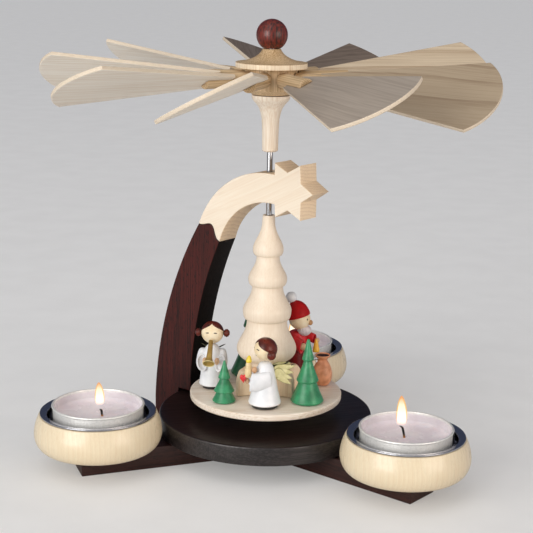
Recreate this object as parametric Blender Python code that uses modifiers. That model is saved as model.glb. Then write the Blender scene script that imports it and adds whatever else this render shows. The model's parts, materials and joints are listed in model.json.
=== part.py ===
"""Candle-driven Christmas pyramid with a comet arch, a turning tree plate and nine paddles.

Metres, +Z up. The origin is on the rotor's axis where the stand meets the table. +X is to the
right and -Y towards the front, where the star and the singing figures show. Heights are
measured from the table, radii from the rotor's axis or from the piece's own axis.
"""
import math

import bmesh
import bpy
from mathutils import Matrix, Vector

MM = 0.001
GAP = 0.3 * MM                      # clearance between pieces that touch or are glued

# stand
LEG_WIDTH = 17.2 * MM
LEG_THICKNESS = 9.5 * MM
LEG_PAST_CANDLE = 9.2 * MM          # of a leg's end beyond its candle's axis
LEG_SIDES = ("back", "left", "right")
LEG_TURN = 80.0                     # degrees from +X to the back leg; the others follow every 120
BASE_RADIUS = 46.9 * MM
BASE_THICKNESS = 8.2 * MM
BASE_EDGE = 0.8 * MM
PIVOT_RADIUS = 4.0 * MM
PIVOT_DEPTH = 4.6 * MM
PIVOT_PROUD = 0.5 * MM
PIVOT_DIMPLE = 2.0 * MM

# candle holders
TEA_RADIUS = 19.5 * MM              # a standard tea light, 39 mm across its rolled rim
TEA_HEIGHT = 16.0 * MM
TEA_WALL = 0.5 * MM
TEA_RIM = 0.9 * MM
WAX_BELOW_RIM = 5.0 * MM
WAX_EDGE = 1.0 * MM                 # where the melted wax creeps up the shell
WAX_CREEP = 0.4 * MM
WICK_RADIUS = 0.7 * MM
WICK_HEIGHT = 5.2 * MM
INSERT_PLAY = 1.8 * MM              # room round a tea light in the metal insert
INSERT_WALL = 0.6 * MM
INSERT_LIP = 0.7 * MM
FLANGE_WIDTH = 2.5 * MM
CUP_HEIGHT = 15.1 * MM
CUP_FLOOR = 1.9 * MM
CUP_FOOT = 22.3 * MM
CUP_SWELL = 2.6 * MM                # of the cup's widest line beyond the flange
CUP_TO_BASE = 1.4 * MM              # room between the cup's widest line and the base disc
CUP_BULGE_HEIGHT = 7.0 * MM         # of the widest line above the cup's foot

# arch and star: a flat board, s along the board from the rotor's axis, heights from the star's centre
ARCH_TURN = -38.6                   # degrees from +X to the side that the star points to
BOARD = 11.4 * MM
FOOT_OUT = 14.9 * MM                # how far the foot stands out from the base disc
FOOT_HEEL = 12.6 * MM               # height of the heel above the table
FOOT_LIFT = 1.0 * MM                # of the foot's step above the base disc
FOOT_OVER_DISC = 7.2 * MM
POST_TO_PLATE = 3.2 * MM            # room for the turning plate inside the bow
POST_WIDTH = 17.3 * MM
POST_OUTER_DROP = 61.2 * MM         # of the middles of the bow's sides below the star's centre
POST_INNER_DROP = 68.7 * MM
JOINT_OUTER = (-35.2 * MM, -20.5 * MM)
JOINT_INNER = (-23.1 * MM, -27.0 * MM)
JOINT_WAVE = 3.9 * MM
TAIL_OUTER_MID = (-17.3 * MM, 0.8 * MM)
TAIL_INNER_MID = (-11.0 * MM, -9.7 * MM)
TAIL_OUTER_RISE = 6.4 * MM          # of the tail's edges above and below the star's centre
TAIL_INNER_DROP = 6.3 * MM
STAR_FROM_AXIS = 14.1 * MM
STAR_LIFT = 12.6 * MM               # of the star's centre above the middle tree
STAR_RADIUS = 13.4 * MM
STAR_NOTCH = 0.602                  # radius of the notches as a share of the points' radius
STAR_TILT = 1.4                     # degrees
STAR_STEP = 30                      # degrees from a point to the next notch
DOWEL_RADIUS = 2.0 * MM
DOWEL_REACH = 9.0 * MM              # how deep the foot's dowel goes into the base disc
DOWEL_IN_FOOT = 3.0 * MM            # of wood left behind the dowel's outer end
BUSH_RADIUS = 3.2 * MM
BUSH_TOP_INSET = 0.8 * MM
BUSH_BOTTOM_INSET = 0.6 * MM

# rotor
SHAFT_RADIUS = 1.25 * MM
BORE = SHAFT_RADIUS + GAP
PLATE_RADIUS = 33.4 * MM
PLATE_LIFT = 6.4 * MM               # of the turning plate above the base disc
PLATE_THICKNESS = 2.9 * MM
PLATE_EDGE = 0.6 * MM
STUMP_RADIUS = 16.1 * MM
STUMP_HEIGHT = 11.0 * MM
STUMP_SHOULDER = 3.0 * MM
SCALLOPS = {                        # angle from +X, wood left round the trunk and radius of each cut
    "singer": (267.5, 1.8 * MM, 29.5 * MM),
    "trumpeter": (168.5, 1.8 * MM, 29.5 * MM),
    "gift_bringer": (47.0, 2.3 * MM, 10.8 * MM),
    "sack": (345.5, 4.3 * MM, 7.8 * MM),
    "tree_back": (110.0, 6.3 * MM, 11.5 * MM),
}
TRUNK_RADIUS = 6.7 * MM
TRUNK_HEIGHT = 13.4 * MM            # from the turning plate to the lowest tier
TIERS = (                           # above the plate: top, neck radius, widest height, widest radius, bottom
    (76.4 * MM, 2.75 * MM, 63.1 * MM, 6.7 * MM, 60.4 * MM),
    (60.3 * MM, 5.0 * MM, 50.2 * MM, 8.5 * MM, 47.0 * MM),
    (46.9 * MM, 6.75 * MM, 35.8 * MM, 10.65 * MM, 31.7 * MM),
    (31.6 * MM, 8.8 * MM, 18.6 * MM, 13.1 * MM, 13.6 * MM),
)
TREE_HEIGHT = 78.5 * MM
TREE_TOP_RADIUS = 2.55 * MM
STEM_TO_STAR = 1.5 * MM             # room between the star's upper point and the stem
STEM_HEIGHT = 23.9 * MM
STEM_TOP_RADIUS = 8.1 * MM
STEM_RADIUS = 3.3 * MM
STEM_EDGE = 0.6 * MM
PEG_LIFT = 6.7 * MM                 # of the pegs' axes above the hub's underside
PEG_RADIUS = 3.25 * MM
PEG_SLIT = 12.0 * MM                # how deep a paddle sits in its peg
PEG_OFF_HUB = 0.4 * MM
TENON_RADIUS = 1.3 * MM
TENON_START = 6.4 * MM
HUB_RADIUS = 11.0 * MM
HUB_CHAMFER = 2.2 * MM
CAP_OVER_PEGS = 1.1 * MM
CAP_RADIUS = 15.1 * MM
CAP_RIM = 2.3 * MM
CAP_EDGE = 0.3 * MM
CAP_HEIGHT = 7.9 * MM
CAP_NECK = 3.8 * MM
BALL_RADIUS = 6.6 * MM
BALL_BORE = 4.0 * MM

# paddles
VANE_COUNT = 9
VANE_FIRST = -25.4                  # degrees from +X to the first paddle
VANE_PITCH = 30.6
VANE_SETS = (                       # turn, droop and pitch of each paddle, set by hand, so they differ
    (2.0, 1.5, 4.0), (-2.5, -0.5, 8.5), (0.0, 0.5, -3.0), (-2.0, -2.4, -12.0), (0.0, 0.0, 1.0),
    (-0.5, 0.5, -1.5), (0.0, 0.0, -5.0), (-0.4, -0.3, -3.0), (1.0, 0.5, -5.0),
)
VANE_THICKNESS = 1.6 * MM
VANE_FROM_HUB = 10.0 * MM
VANE_INNER_HALF = 5.0 * MM
VANE_CORNER = 88.8 * MM
VANE_CORNER_HALF = 20.7 * MM
VANE_CROWN = 9.6 * MM               # of the outer edge's middle beyond its corners

# figures and trees on the turning plate: room to the plate's rim, angle from +X, and for a figure
# the way that it looks
TRUMPETER = (4.1 * MM, 174.0, 266.0)
TRUMPETER_ROBE = (4.7 * MM, 19.6 * MM)      # radius of the hem and height
TRUMPETER_HEAD = 24.9 * MM                  # height of the head's centre
TRUMPET = (2.6 * MM, 11.62 * MM)            # radius of the bell and length
TRUMPET_REACH = 5.4 * MM                    # of the mouthpiece in front of the robe's axis
TRUMPET_DROP = 2.3 * MM                     # of the mouthpiece below the head's centre
TRUMPET_DIP = 130.8                         # degrees from upright
SINGER = (4.4 * MM, 269.0, 204.0)
SINGER_ROBE = (6.8 * MM, 19.8 * MM)
SINGER_HEAD = 25.2 * MM
SINGER_CANDLE = (2.0 * MM, 10.0 * MM)       # radius of its dish, and height with the flame
SINGER_CANDLE_REACH = 8.6 * MM
SINGER_CANDLE_FOOT = 11.4 * MM
WINGS_THICKNESS = 5.2 * MM
GIFT_BRINGER = (7.6 * MM, 49.0, 345.0)
GIFT_BRINGER_COAT = (5.2 * MM, 22.9 * MM)
GIFT_BRINGER_HEAD = 28.2 * MM
GIFT_BRINGER_SLEEVE = 1.75 * MM
HEAD_FORWARD = 0.6 * MM
CAP_LIFT = 2.8 * MM                         # of the cap's centre above the head's
CAP_SIZE = 5.1 * MM
POMPON_LIFT = 9.4 * MM
POMPON_BACK = 3.0 * MM
POMPON_RADIUS = 2.45 * MM
NOSE_RADIUS = 1.2 * MM
NOSE_SUNK = 0.05 * MM
NOSE_DROP = 1.3 * MM
SACK = (2.9 * MM, 17.5)
SACK_SIZE = (4.1 * MM, 14.0 * MM)
HEAD_RADIUS = 4.95 * MM
BUN_RADIUS = 1.8 * MM
BUN_PLACE = 6.4 * MM
SLEEVE_RADIUS = 1.65 * MM
TREES = {                           # room to the rim, angle, height, foot radius, and two upper tiers:
    # height of the rim, reach of the rim and reach of the neck below it, as shares
    "left": (4.0 * MM, 223.0, 18.2 * MM, 5.0 * MM, ((0.58, 0.55, 0.42), (0.27, 0.88, 0.70))),
    "right": (2.6 * MM, 319.0, 28.0 * MM, 7.1 * MM, ((0.685, 0.35, 0.27), (0.35, 0.68, 0.57))),
    "back": (1.0 * MM, 108.0, 33.0 * MM, 8.8 * MM, ((0.685, 0.38, 0.30), (0.35, 0.70, 0.60))),
}

# places that follow from the sizes above
INSERT_RADIUS = TEA_RADIUS + INSERT_PLAY
FLANGE_RADIUS = INSERT_RADIUS + INSERT_WALL + FLANGE_WIDTH
CUP_BULGE = FLANGE_RADIUS + CUP_SWELL
CANDLE_RADIUS = BASE_RADIUS + CUP_TO_BASE + CUP_BULGE
LEG_REACH = CANDLE_RADIUS + LEG_PAST_CANDLE
BASE_BOTTOM = LEG_THICKNESS + GAP
BASE_TOP = BASE_BOTTOM + BASE_THICKNESS
PIVOT_TOP = BASE_TOP + PIVOT_PROUD
PLATE_BOTTOM = BASE_TOP + PLATE_LIFT
PLATE_TOP = PLATE_BOTTOM + PLATE_THICKNESS
STAND_ON_PLATE = PLATE_TOP + GAP
CUP_BOTTOM = LEG_THICKNESS + GAP
CUP_TOP = CUP_BOTTOM + CUP_HEIGHT
INSERT_FLOOR = CUP_BOTTOM + CUP_FLOOR + GAP + INSERT_WALL
TEA_BOTTOM = INSERT_FLOOR + GAP
TEA_TOP = TEA_BOTTOM + TEA_HEIGHT
TREE_TOP = STAND_ON_PLATE + TREE_HEIGHT
TREE_BOTTOM = STAND_ON_PLATE + TRUNK_HEIGHT
STAR_HEIGHT = TREE_TOP + STAR_LIFT
TAIL_TOP = STAR_HEIGHT + TAIL_OUTER_RISE
TAIL_BOTTOM = STAR_HEIGHT - TAIL_INNER_DROP
FOOT_END = -(BASE_RADIUS + FOOT_OUT)
POST_INNER_FOOT = -(BASE_RADIUS - FOOT_OVER_DISC)
POST_INNER_MID = -(PLATE_RADIUS + POST_TO_PLATE)
POST_OUTER_MID = POST_INNER_MID - POST_WIDTH
STEM_BOTTOM = STAR_HEIGHT + STAR_RADIUS + STEM_TO_STAR
STEM_TOP = STEM_BOTTOM + STEM_HEIGHT
HUB_BOTTOM = STEM_TOP + GAP
PEG_HEIGHT = HUB_BOTTOM + PEG_LIFT
CAP_BOTTOM = PEG_HEIGHT + PEG_RADIUS + CAP_OVER_PEGS
CAP_TOP = CAP_BOTTOM + CAP_HEIGHT
HUB_TOP = CAP_BOTTOM - GAP
BALL_FLAT = CAP_TOP + GAP
BALL_CENTRE = BALL_FLAT + math.sqrt(BALL_RADIUS ** 2 - CAP_NECK ** 2)
SHAFT_TOP = BALL_FLAT + BALL_BORE - GAP
VANE_INNER = HUB_RADIUS + VANE_FROM_HUB
VANE_TIP = VANE_CORNER + VANE_CROWN
PEG_END = VANE_INNER + PEG_SLIT

COLLECTION = "christmas_pyramid"


def clear_scene():
    """Remove every object, so that the script can be run again."""
    for obj in list(bpy.data.objects):
        bpy.data.objects.remove(obj, do_unlink=True)


def new_collection(name):
    collection = bpy.data.collections.new(name)
    bpy.context.scene.collection.children.link(collection)
    return collection


def material(name, colour, roughness, metallic=0.0):
    """A Principled material, made once for each name."""
    found = bpy.data.materials.get(name)
    if found:
        return found
    made = bpy.data.materials.new(name)
    made.use_nodes = True
    shader = made.node_tree.nodes["Principled BSDF"]
    shader.inputs["Base Color"].default_value = (*colour, 1.0)
    shader.inputs["Roughness"].default_value = roughness
    shader.inputs["Metallic"].default_value = metallic
    return made


def pale_wood():
    return material("turned lime wood", (0.82, 0.68, 0.48), 0.5)


def dark_wood():
    return material("stained beech", (0.045, 0.014, 0.011), 0.38)


def white_paint():
    return material("white lacquer", (0.86, 0.86, 0.85), 0.45)


def green_paint():
    return material("green lacquer", (0.03, 0.27, 0.13), 0.42)


def skin():
    return material("face", (0.86, 0.72, 0.52), 0.5)


def steel():
    return material("polished steel", (0.62, 0.62, 0.64), 0.2, 1.0)


def add_object(name, mesh, surface, parent=None, collection=None):
    """Link one named object with its material."""
    obj = bpy.data.objects.new(name, mesh)
    (collection or parts).objects.link(obj)
    if surface and not mesh.materials:
        mesh.materials.append(surface)
    obj.parent = parent
    return obj


def axis_empty(name, matrix, parent=None):
    """An empty that marks a joint's or a piece's own axis."""
    empty = bpy.data.objects.new(name, None)
    empty.empty_display_size = 0.01
    parts.objects.link(empty)
    empty.parent = parent
    empty.matrix_basis = matrix
    return empty


def place(radius, degrees, height=0.0):
    """A place on a circle round the rotor's axis."""
    angle = math.radians(degrees)
    return Vector((radius * math.cos(angle), radius * math.sin(angle), height))


def arc(centre, radius, start, end, count):
    """Points on a circle of a profile or outline, angles in degrees."""
    points = []
    for i in range(count + 1):
        angle = math.radians(start + (end - start) * i / count)
        points.append((centre[0] + radius * math.cos(angle), centre[1] + radius * math.sin(angle)))
    return points


def arc_through(start, middle, end, count):
    """Points on the circle that runs through three points."""
    (ax, ay), (bx, by), (cx, cy) = start, middle, end
    d = 2 * (ax * (by - cy) + bx * (cy - ay) + cx * (ay - by))
    a2, b2, c2 = ax * ax + ay * ay, bx * bx + by * by, cx * cx + cy * cy
    ux = (a2 * (by - cy) + b2 * (cy - ay) + c2 * (ay - by)) / d
    uy = (a2 * (cx - bx) + b2 * (ax - cx) + c2 * (bx - ax)) / d
    first = math.atan2(ay - uy, ax - ux)
    last = math.atan2(cy - uy, cx - ux)
    turn = (last - first + math.pi) % (2 * math.pi) - math.pi
    radius = math.hypot(ax - ux, ay - uy)
    angles = [first + turn * i / count for i in range(count + 1)]
    return [(ux + radius * math.cos(a), uy + radius * math.sin(a)) for a in angles]


def turned(name, profile, surface, steps, parent=None, bored=False, collection=None):
    """A piece turned on a lathe: a profile of (radius, height), screwed round the Z axis.

    The profile runs down the outer side. A bored piece's profile is closed along its bore.
    """
    mesh = bpy.data.meshes.new(name)
    edges = [(i, i + 1) for i in range(len(profile) - 1)]
    if bored:
        edges.append((len(profile) - 1, 0))
    mesh.from_pydata([(r, 0.0, z) for r, z in profile], edges, [])
    obj = add_object(name, mesh, surface, parent, collection)
    screw = obj.modifiers.new("turned", "SCREW")
    screw.angle = math.tau
    screw.steps = steps
    screw.render_steps = steps
    screw.use_merge_vertices = True
    screw.merge_threshold = 0.00002
    return obj


def plate_mesh(name, outline, thickness):
    """A board: a flat outline as a filled curve, with half its thickness on each side."""
    curve = bpy.data.curves.new(name, "CURVE")
    curve.dimensions = "2D"
    curve.fill_mode = "BOTH"
    curve.extrude = thickness / 2
    spline = curve.splines.new("POLY")
    spline.points.add(len(outline) - 1)
    for point, (x, y) in zip(spline.points, outline):
        point.co = (x, y, 0.0, 1.0)
    spline.use_cyclic_u = True
    holder = bpy.data.objects.new(name, curve)
    bpy.context.scene.collection.objects.link(holder)
    graph = bpy.context.evaluated_depsgraph_get()
    mesh = bpy.data.meshes.new_from_object(holder.evaluated_get(graph))
    bpy.data.objects.remove(holder, do_unlink=True)
    shape = bmesh.new()
    shape.from_mesh(mesh)
    bmesh.ops.remove_doubles(shape, verts=shape.verts, dist=1e-6)
    bmesh.ops.recalc_face_normals(shape, faces=shape.faces)
    shape.to_mesh(mesh)
    shape.free()
    return mesh


def block_mesh(name, low, high):
    """A square-edged block between two corners."""
    size = Vector(high) - Vector(low)
    middle = (Vector(high) + Vector(low)) / 2
    shape = bmesh.new()
    matrix = Matrix.Translation(middle) @ Matrix.Diagonal((*size, 1.0))
    bmesh.ops.create_cube(shape, size=1.0, matrix=matrix)
    mesh = bpy.data.meshes.new(name)
    shape.to_mesh(mesh)
    shape.free()
    return mesh


def rod_mesh(name, start, end, radius, sides, end_radius=None):
    """A round or tapered rod from one point to another."""
    start, end = Vector(start), Vector(end)
    line = end - start
    turn = Vector((0, 0, 1)).rotation_difference(line.normalized()).to_matrix().to_4x4()
    shape = bmesh.new()
    bmesh.ops.create_cone(
        shape, cap_ends=True, segments=sides, radius1=radius,
        radius2=radius if end_radius is None else end_radius, depth=line.length,
        matrix=Matrix.Translation((start + end) / 2) @ turn)
    mesh = bpy.data.meshes.new(name)
    shape.to_mesh(mesh)
    shape.free()
    return mesh


def ball_mesh(name, centre, radius, sides, stretch=(1.0, 1.0, 1.0)):
    """A ball, or an egg where it is stretched."""
    shape = bmesh.new()
    matrix = Matrix.Translation(Vector(centre)) @ Matrix.Diagonal((*stretch, 1.0))
    bmesh.ops.create_uvsphere(
        shape, u_segments=sides, v_segments=max(6, sides // 2), radius=radius, matrix=matrix)
    mesh = bpy.data.meshes.new(name)
    shape.to_mesh(mesh)
    shape.free()
    return mesh


def shape_with(target, mesh, operation):
    """Cut a hidden shape out of a piece, or join it on."""
    helper = add_object(mesh.name, mesh, None, target.parent, cutters)
    helper.matrix_basis = target.matrix_basis
    helper.hide_render = True
    helper.display_type = "WIRE"
    change = target.modifiers.new(mesh.name, "BOOLEAN")
    change.operation = operation
    change.solver = "EXACT"
    change.object = helper


def leg_angle(side):
    """The legs lie every 120 degrees from the back one."""
    return LEG_TURN + 120.0 * LEG_SIDES.index(side)


def make_legs():
    """Three square bars; the right one runs under the centre, the others butt against it."""
    half = LEG_WIDTH / 2
    # a bar's inner corner clears the next bar, 120 degrees away, by the glue gap
    butt = (half + GAP + half * math.cos(math.radians(60))) / math.sin(math.radians(60))
    for side in LEG_SIDES:
        start = -half if side == "right" else butt
        mesh = block_mesh("leg_" + side, (start, -half, 0), (LEG_REACH, half, LEG_THICKNESS))
        leg = add_object("leg_" + side, mesh, dark_wood())
        leg.rotation_euler.z = math.radians(leg_angle(side))


def foot_dowel_mesh(name, radius, extra):
    """The dowel that holds the arch's foot to the base disc's rim, along the board."""
    height = BASE_BOTTOM + BASE_THICKNESS / 2
    outer = FOOT_END + DOWEL_IN_FOOT - extra
    inner = -BASE_RADIUS + DOWEL_REACH + extra
    return rod_mesh(name, (outer, 0, height), (inner, 0, height), radius, 12)


def board_matrix():
    return Matrix.Rotation(math.radians(ARCH_TURN), 4, "Z")


def make_base_disc():
    """The round base with a pocket for the pivot cup and a hole for the arch's dowel."""
    pocket = PIVOT_RADIUS + GAP
    floor = PIVOT_TOP - PIVOT_DEPTH - GAP
    profile = [(0, floor), (pocket, floor), (pocket, BASE_TOP), (BASE_RADIUS - BASE_EDGE, BASE_TOP),
               (BASE_RADIUS, BASE_TOP - BASE_EDGE), (BASE_RADIUS, BASE_BOTTOM), (0, BASE_BOTTOM)]
    disc = turned("base_disc", profile, dark_wood(), 40)
    disc.matrix_basis = board_matrix()
    shape_with(disc, foot_dowel_mesh("hole_for_dowel_in_disc", DOWEL_RADIUS + GAP, GAP), "DIFFERENCE")


def make_pivot_cup():
    """A small bearing cup; the shaft's point turns in its dimple."""
    bottom = PIVOT_TOP - PIVOT_DEPTH
    profile = [(0, PIVOT_TOP - PIVOT_DIMPLE), (PIVOT_DIMPLE, PIVOT_TOP), (PIVOT_RADIUS, PIVOT_TOP),
               (PIVOT_RADIUS, bottom), (0, bottom)]
    turned("pivot_cup", profile, material("brass", (0.6, 0.42, 0.16), 0.3, 1.0), 20)


def from_star(point):
    """A point of the board whose height is given from the star's centre."""
    return (point[0], STAR_HEIGHT + point[1])


def joint_wave(lift):
    """The wavy glued joint between post and tail, from the outer edge to the inner one."""
    start, end = Vector(from_star(JOINT_OUTER)), Vector(from_star(JOINT_INNER))
    line = end - start
    normal = Vector((-line.y, line.x)).normalized()
    points = []
    for i in range(11):
        t = i / 10
        swell = math.sin(math.pi * min(t / 0.92, 1.0)) ** 2
        points.append(tuple(start + line * t + normal * (JOINT_WAVE * swell + lift)))
    return points


def stand_up(name, outline):
    """A board's outline of (s, z), turned to stand upright in the arch's plane."""
    mesh = plate_mesh(name, outline, BOARD)
    mesh.transform(Matrix.Rotation(math.radians(90), 4, "X"))
    return mesh


def make_arch_post():
    """The dark bow: its foot steps over the disc's rim and stands outside it on the table."""
    step_out = -BASE_RADIUS - GAP
    step_up = BASE_TOP + FOOT_LIFT
    outer_middle = from_star((POST_OUTER_MID, -POST_OUTER_DROP))
    inner_middle = from_star((POST_INNER_MID, -POST_INNER_DROP))
    outer = arc_through(from_star(JOINT_OUTER), outer_middle, (FOOT_END, FOOT_HEEL), 14)
    inner = arc_through((POST_INNER_FOOT, step_up), inner_middle, from_star(JOINT_INNER), 12)
    outline = outer + [(FOOT_END, 0), (step_out, 0), (step_out, step_up)] + inner
    outline += joint_wave(0.0)[-2:0:-1]
    post = add_object("arch_post", stand_up("arch_post", outline), dark_wood())
    post.matrix_basis = board_matrix()
    shape_with(post, foot_dowel_mesh("hole_for_dowel_in_post", DOWEL_RADIUS + GAP, GAP), "DIFFERENCE")


def make_arch_dowel():
    dowel = add_object("arch_dowel", foot_dowel_mesh("arch_dowel", DOWEL_RADIUS, 0.0), pale_wood())
    dowel.matrix_basis = board_matrix()


def star_corner(index):
    """A corner of the star, counted from its right point: points are even, notches odd."""
    radius = STAR_RADIUS if index % 2 == 0 else STAR_RADIUS * STAR_NOTCH
    angle = math.radians(STAR_STEP * index + STAR_TILT)
    return (STAR_FROM_AXIS + radius * math.cos(angle), STAR_HEIGHT + radius * math.sin(angle))


def on_star_edge(first, second, height):
    """Where an edge of the star is at a height."""
    (ax, az), (bx, bz) = star_corner(first), star_corner(second)
    share = (height - az) / (bz - az)
    return (ax + share * (bx - ax), height)


def make_comet_star():
    """The pale tail, which swallows the star's left point, and the rest of the star."""
    upper_end = on_star_edge(4, 5, TAIL_TOP)
    lower_end = on_star_edge(-5, -4, TAIL_BOTTOM)
    start, end = joint_wave(GAP)[0], joint_wave(GAP)[-1]
    outline = arc_through(start, from_star(TAIL_OUTER_MID), upper_end, 10)
    outline += [star_corner(index) for index in range(4, -5, -1)]
    outline += arc_through(lower_end, from_star(TAIL_INNER_MID), end, 9)
    outline += joint_wave(GAP)[-2:0:-1]
    comet = add_object("comet_star", stand_up("comet_star", outline), pale_wood())
    comet.matrix_basis = board_matrix()
    hole = rod_mesh("hole_for_bush", (0, 0, TREE_TOP), (0, 0, STEM_BOTTOM), BUSH_RADIUS + GAP, 20)
    shape_with(comet, hole, "DIFFERENCE")


def make_shaft_bush():
    """The sleeve in the comet's tail that steadies the shaft."""
    top, bottom = TAIL_TOP - BUSH_TOP_INSET, TAIL_BOTTOM + BUSH_BOTTOM_INSET
    profile = [(BORE, top), (BUSH_RADIUS, top), (BUSH_RADIUS, bottom), (BORE, bottom)]
    turned("shaft_bush", profile, material("dark bush", (0.05, 0.03, 0.025), 0.4), 20, bored=True)


def make_candle_holder(side):
    """A turned cup on the leg's end, with a metal insert in its pocket."""
    spot = Matrix.Translation(place(CANDLE_RADIUS, leg_angle(side)))
    pocket = INSERT_RADIUS + INSERT_WALL + GAP
    shoulder = (FLANGE_RADIUS + GAP, CUP_TOP)
    bulge = (CUP_BULGE, CUP_BOTTOM + CUP_BULGE_HEIGHT)
    lower = [(CUP_FOOT + (CUP_BULGE - CUP_FOOT) * math.cos(a), bulge[1] - CUP_BULGE_HEIGHT * math.sin(a))
             for a in (math.radians(step) for step in (25, 50, 72))]
    profile = [(0, CUP_BOTTOM + CUP_FLOOR), (pocket, CUP_BOTTOM + CUP_FLOOR), (pocket, CUP_TOP), shoulder]
    upper = (CUP_BULGE - CUP_SWELL * 0.23, CUP_TOP - (CUP_HEIGHT - CUP_BULGE_HEIGHT) * 0.54)
    profile += arc_through(shoulder, upper, bulge, 4)[1:]
    profile += lower + [(CUP_FOOT, CUP_BOTTOM), (0, CUP_BOTTOM)]
    cup = turned("candle_cup_" + side, profile, material("waxed birch", (0.80, 0.65, 0.40), 0.4), 24)
    cup.matrix_basis = spot

    flange = CUP_TOP + GAP
    top = flange + INSERT_WALL
    outer = INSERT_RADIUS + INSERT_WALL
    profile = [(0, INSERT_FLOOR), (INSERT_RADIUS, INSERT_FLOOR), (INSERT_RADIUS, top - INSERT_LIP),
               (INSERT_RADIUS + INSERT_LIP, top), (FLANGE_RADIUS, top), (FLANGE_RADIUS, flange),
               (outer, flange), (outer, INSERT_FLOOR - INSERT_WALL), (0, INSERT_FLOOR - INSERT_WALL)]
    insert = turned("candle_insert_" + side, profile, steel(), 24)
    insert.matrix_basis = spot


def make_tea_light(side):
    """An aluminium shell and its wax with the wick; both lift out of the insert."""
    axis = axis_empty("tea_light_axis_" + side, Matrix.Translation(place(CANDLE_RADIUS, leg_angle(side))))
    outer = TEA_RADIUS - TEA_WALL
    inner = outer - TEA_WALL
    floor = TEA_BOTTOM + TEA_WALL
    under_rim = TEA_TOP - TEA_RIM
    profile = [(0, floor), (inner, floor), (inner, TEA_TOP), (TEA_RADIUS, TEA_TOP), (TEA_RADIUS, under_rim),
               (outer, under_rim), (outer, TEA_BOTTOM), (0, TEA_BOTTOM)]
    turned("tea_shell_" + side, profile, material("aluminium", (0.75, 0.75, 0.76), 0.3, 1.0), 24, axis)
    wax = inner - GAP
    level = TEA_TOP - WAX_BELOW_RIM
    profile = [(0, level + WICK_HEIGHT), (WICK_RADIUS, level + WICK_HEIGHT), (WICK_RADIUS, level),
               (wax - WAX_EDGE, level), (wax, level + WAX_CREEP), (wax, floor + GAP), (0, floor + GAP)]
    turned("tea_wax_" + side, profile, material("paraffin wax", (0.75, 0.70, 0.72), 0.35), 20, axis)


def make_shaft():
    """The steel shaft, pointed at the pivot, through the bush and up into the ball."""
    tip = PIVOT_TOP - PIVOT_DIMPLE + 2 * GAP
    profile = [(0, SHAFT_TOP), (SHAFT_RADIUS, SHAFT_TOP), (SHAFT_RADIUS, tip + SHAFT_RADIUS), (0, tip)]
    turned("shaft", profile, steel(), 16, rotor)


def make_turning_plate():
    inner = PLATE_RADIUS - PLATE_EDGE
    profile = [(BORE, PLATE_TOP), (inner, PLATE_TOP), (PLATE_RADIUS, PLATE_TOP - PLATE_EDGE),
               (PLATE_RADIUS, PLATE_BOTTOM + PLATE_EDGE), (inner, PLATE_BOTTOM), (BORE, PLATE_BOTTOM)]
    turned("turning_plate", profile, pale_wood(), 40, rotor, bored=True)


def make_stump():
    """The foot of the middle tree, scalloped all round, so that thin ribs are left."""
    bottom, top = STAND_ON_PLATE, STAND_ON_PLATE + STUMP_HEIGHT
    bore = TRUNK_RADIUS + GAP
    profile = [(bore, top)]
    for inward, down in ((1.0, 0.0), (0.3, 0.4), (0.1, 1.0)):
        profile.append((STUMP_RADIUS - STUMP_SHOULDER * inward, top - STUMP_SHOULDER * down))
    profile += [(STUMP_RADIUS, bottom), (bore, bottom)]
    stump = turned("stump", profile, pale_wood(), 30, rotor, bored=True)
    for name, (angle, wall, radius) in SCALLOPS.items():
        distance = TRUNK_RADIUS + wall + radius
        low, high = place(distance, angle, PLATE_TOP), place(distance, angle, TREE_BOTTOM)
        shape_with(stump, rod_mesh("scallop_for_" + name, low, high, radius, 40), "DIFFERENCE")


def tier(top, neck, widest, radius, bottom, below):
    """A bell-shaped tier: it swells from its neck to the widest line and rounds in to the next neck."""
    points = []
    for share in (0.0, 0.25, 0.5, 0.75, 1.0):
        swell = share * share * (3 - 2 * share)
        points.append((neck + (radius - neck) * swell, top + (widest - top) * share))
    for turn in (35, 65):
        out, down = math.cos(math.radians(turn)), math.sin(math.radians(turn))
        points.append((below + (radius - below) * out, widest - (widest - bottom) * down))
    points.append((below + (radius - below) * 0.12, bottom))
    return points


def make_middle_tree():
    """The tall pale tree: four bell-shaped tiers and the trunk, bored for the shaft."""
    profile = [(BORE, TREE_TOP), (TREE_TOP_RADIUS, TREE_TOP)]
    for index, (top, neck, widest, radius, bottom) in enumerate(TIERS):
        below = TIERS[index + 1][1] if index + 1 < len(TIERS) else TRUNK_RADIUS
        low = STAND_ON_PLATE
        profile += tier(low + top, neck, low + widest, radius, low + bottom, below)
    profile += [(TRUNK_RADIUS, TREE_BOTTOM), (TRUNK_RADIUS, STAND_ON_PLATE), (BORE, STAND_ON_PLATE)]
    turned("middle_tree", profile, pale_wood(), 24, rotor, bored=True)


def make_small_tree(side):
    """A green turned tree with three bell-shaped tiers, standing on the plate."""
    room, angle, height, foot, tiers = TREES[side]
    low = STAND_ON_PLATE
    profile = [(0, low + height)]
    top, neck = 1.0, 0.09
    for rim, reach, next_neck in tiers + ((0.07, 1.0, 0.9),):
        for down, out in ((0.0, 0.0), (0.5, 0.44), (0.85, 0.88), (1.0, 1.0)):
            share = top + (rim - top) * down
            profile.append((foot * (neck + (reach - neck) * out), low + height * share))
        top, neck = max(rim - 0.035, 0.0), next_neck
    profile += [(foot * neck, low), (0, low)]
    tree = turned("tree_" + side, profile, green_paint(), 16, rotor)
    tree.matrix_basis = Matrix.Translation(place(PLATE_RADIUS - room - foot, angle))


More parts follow.
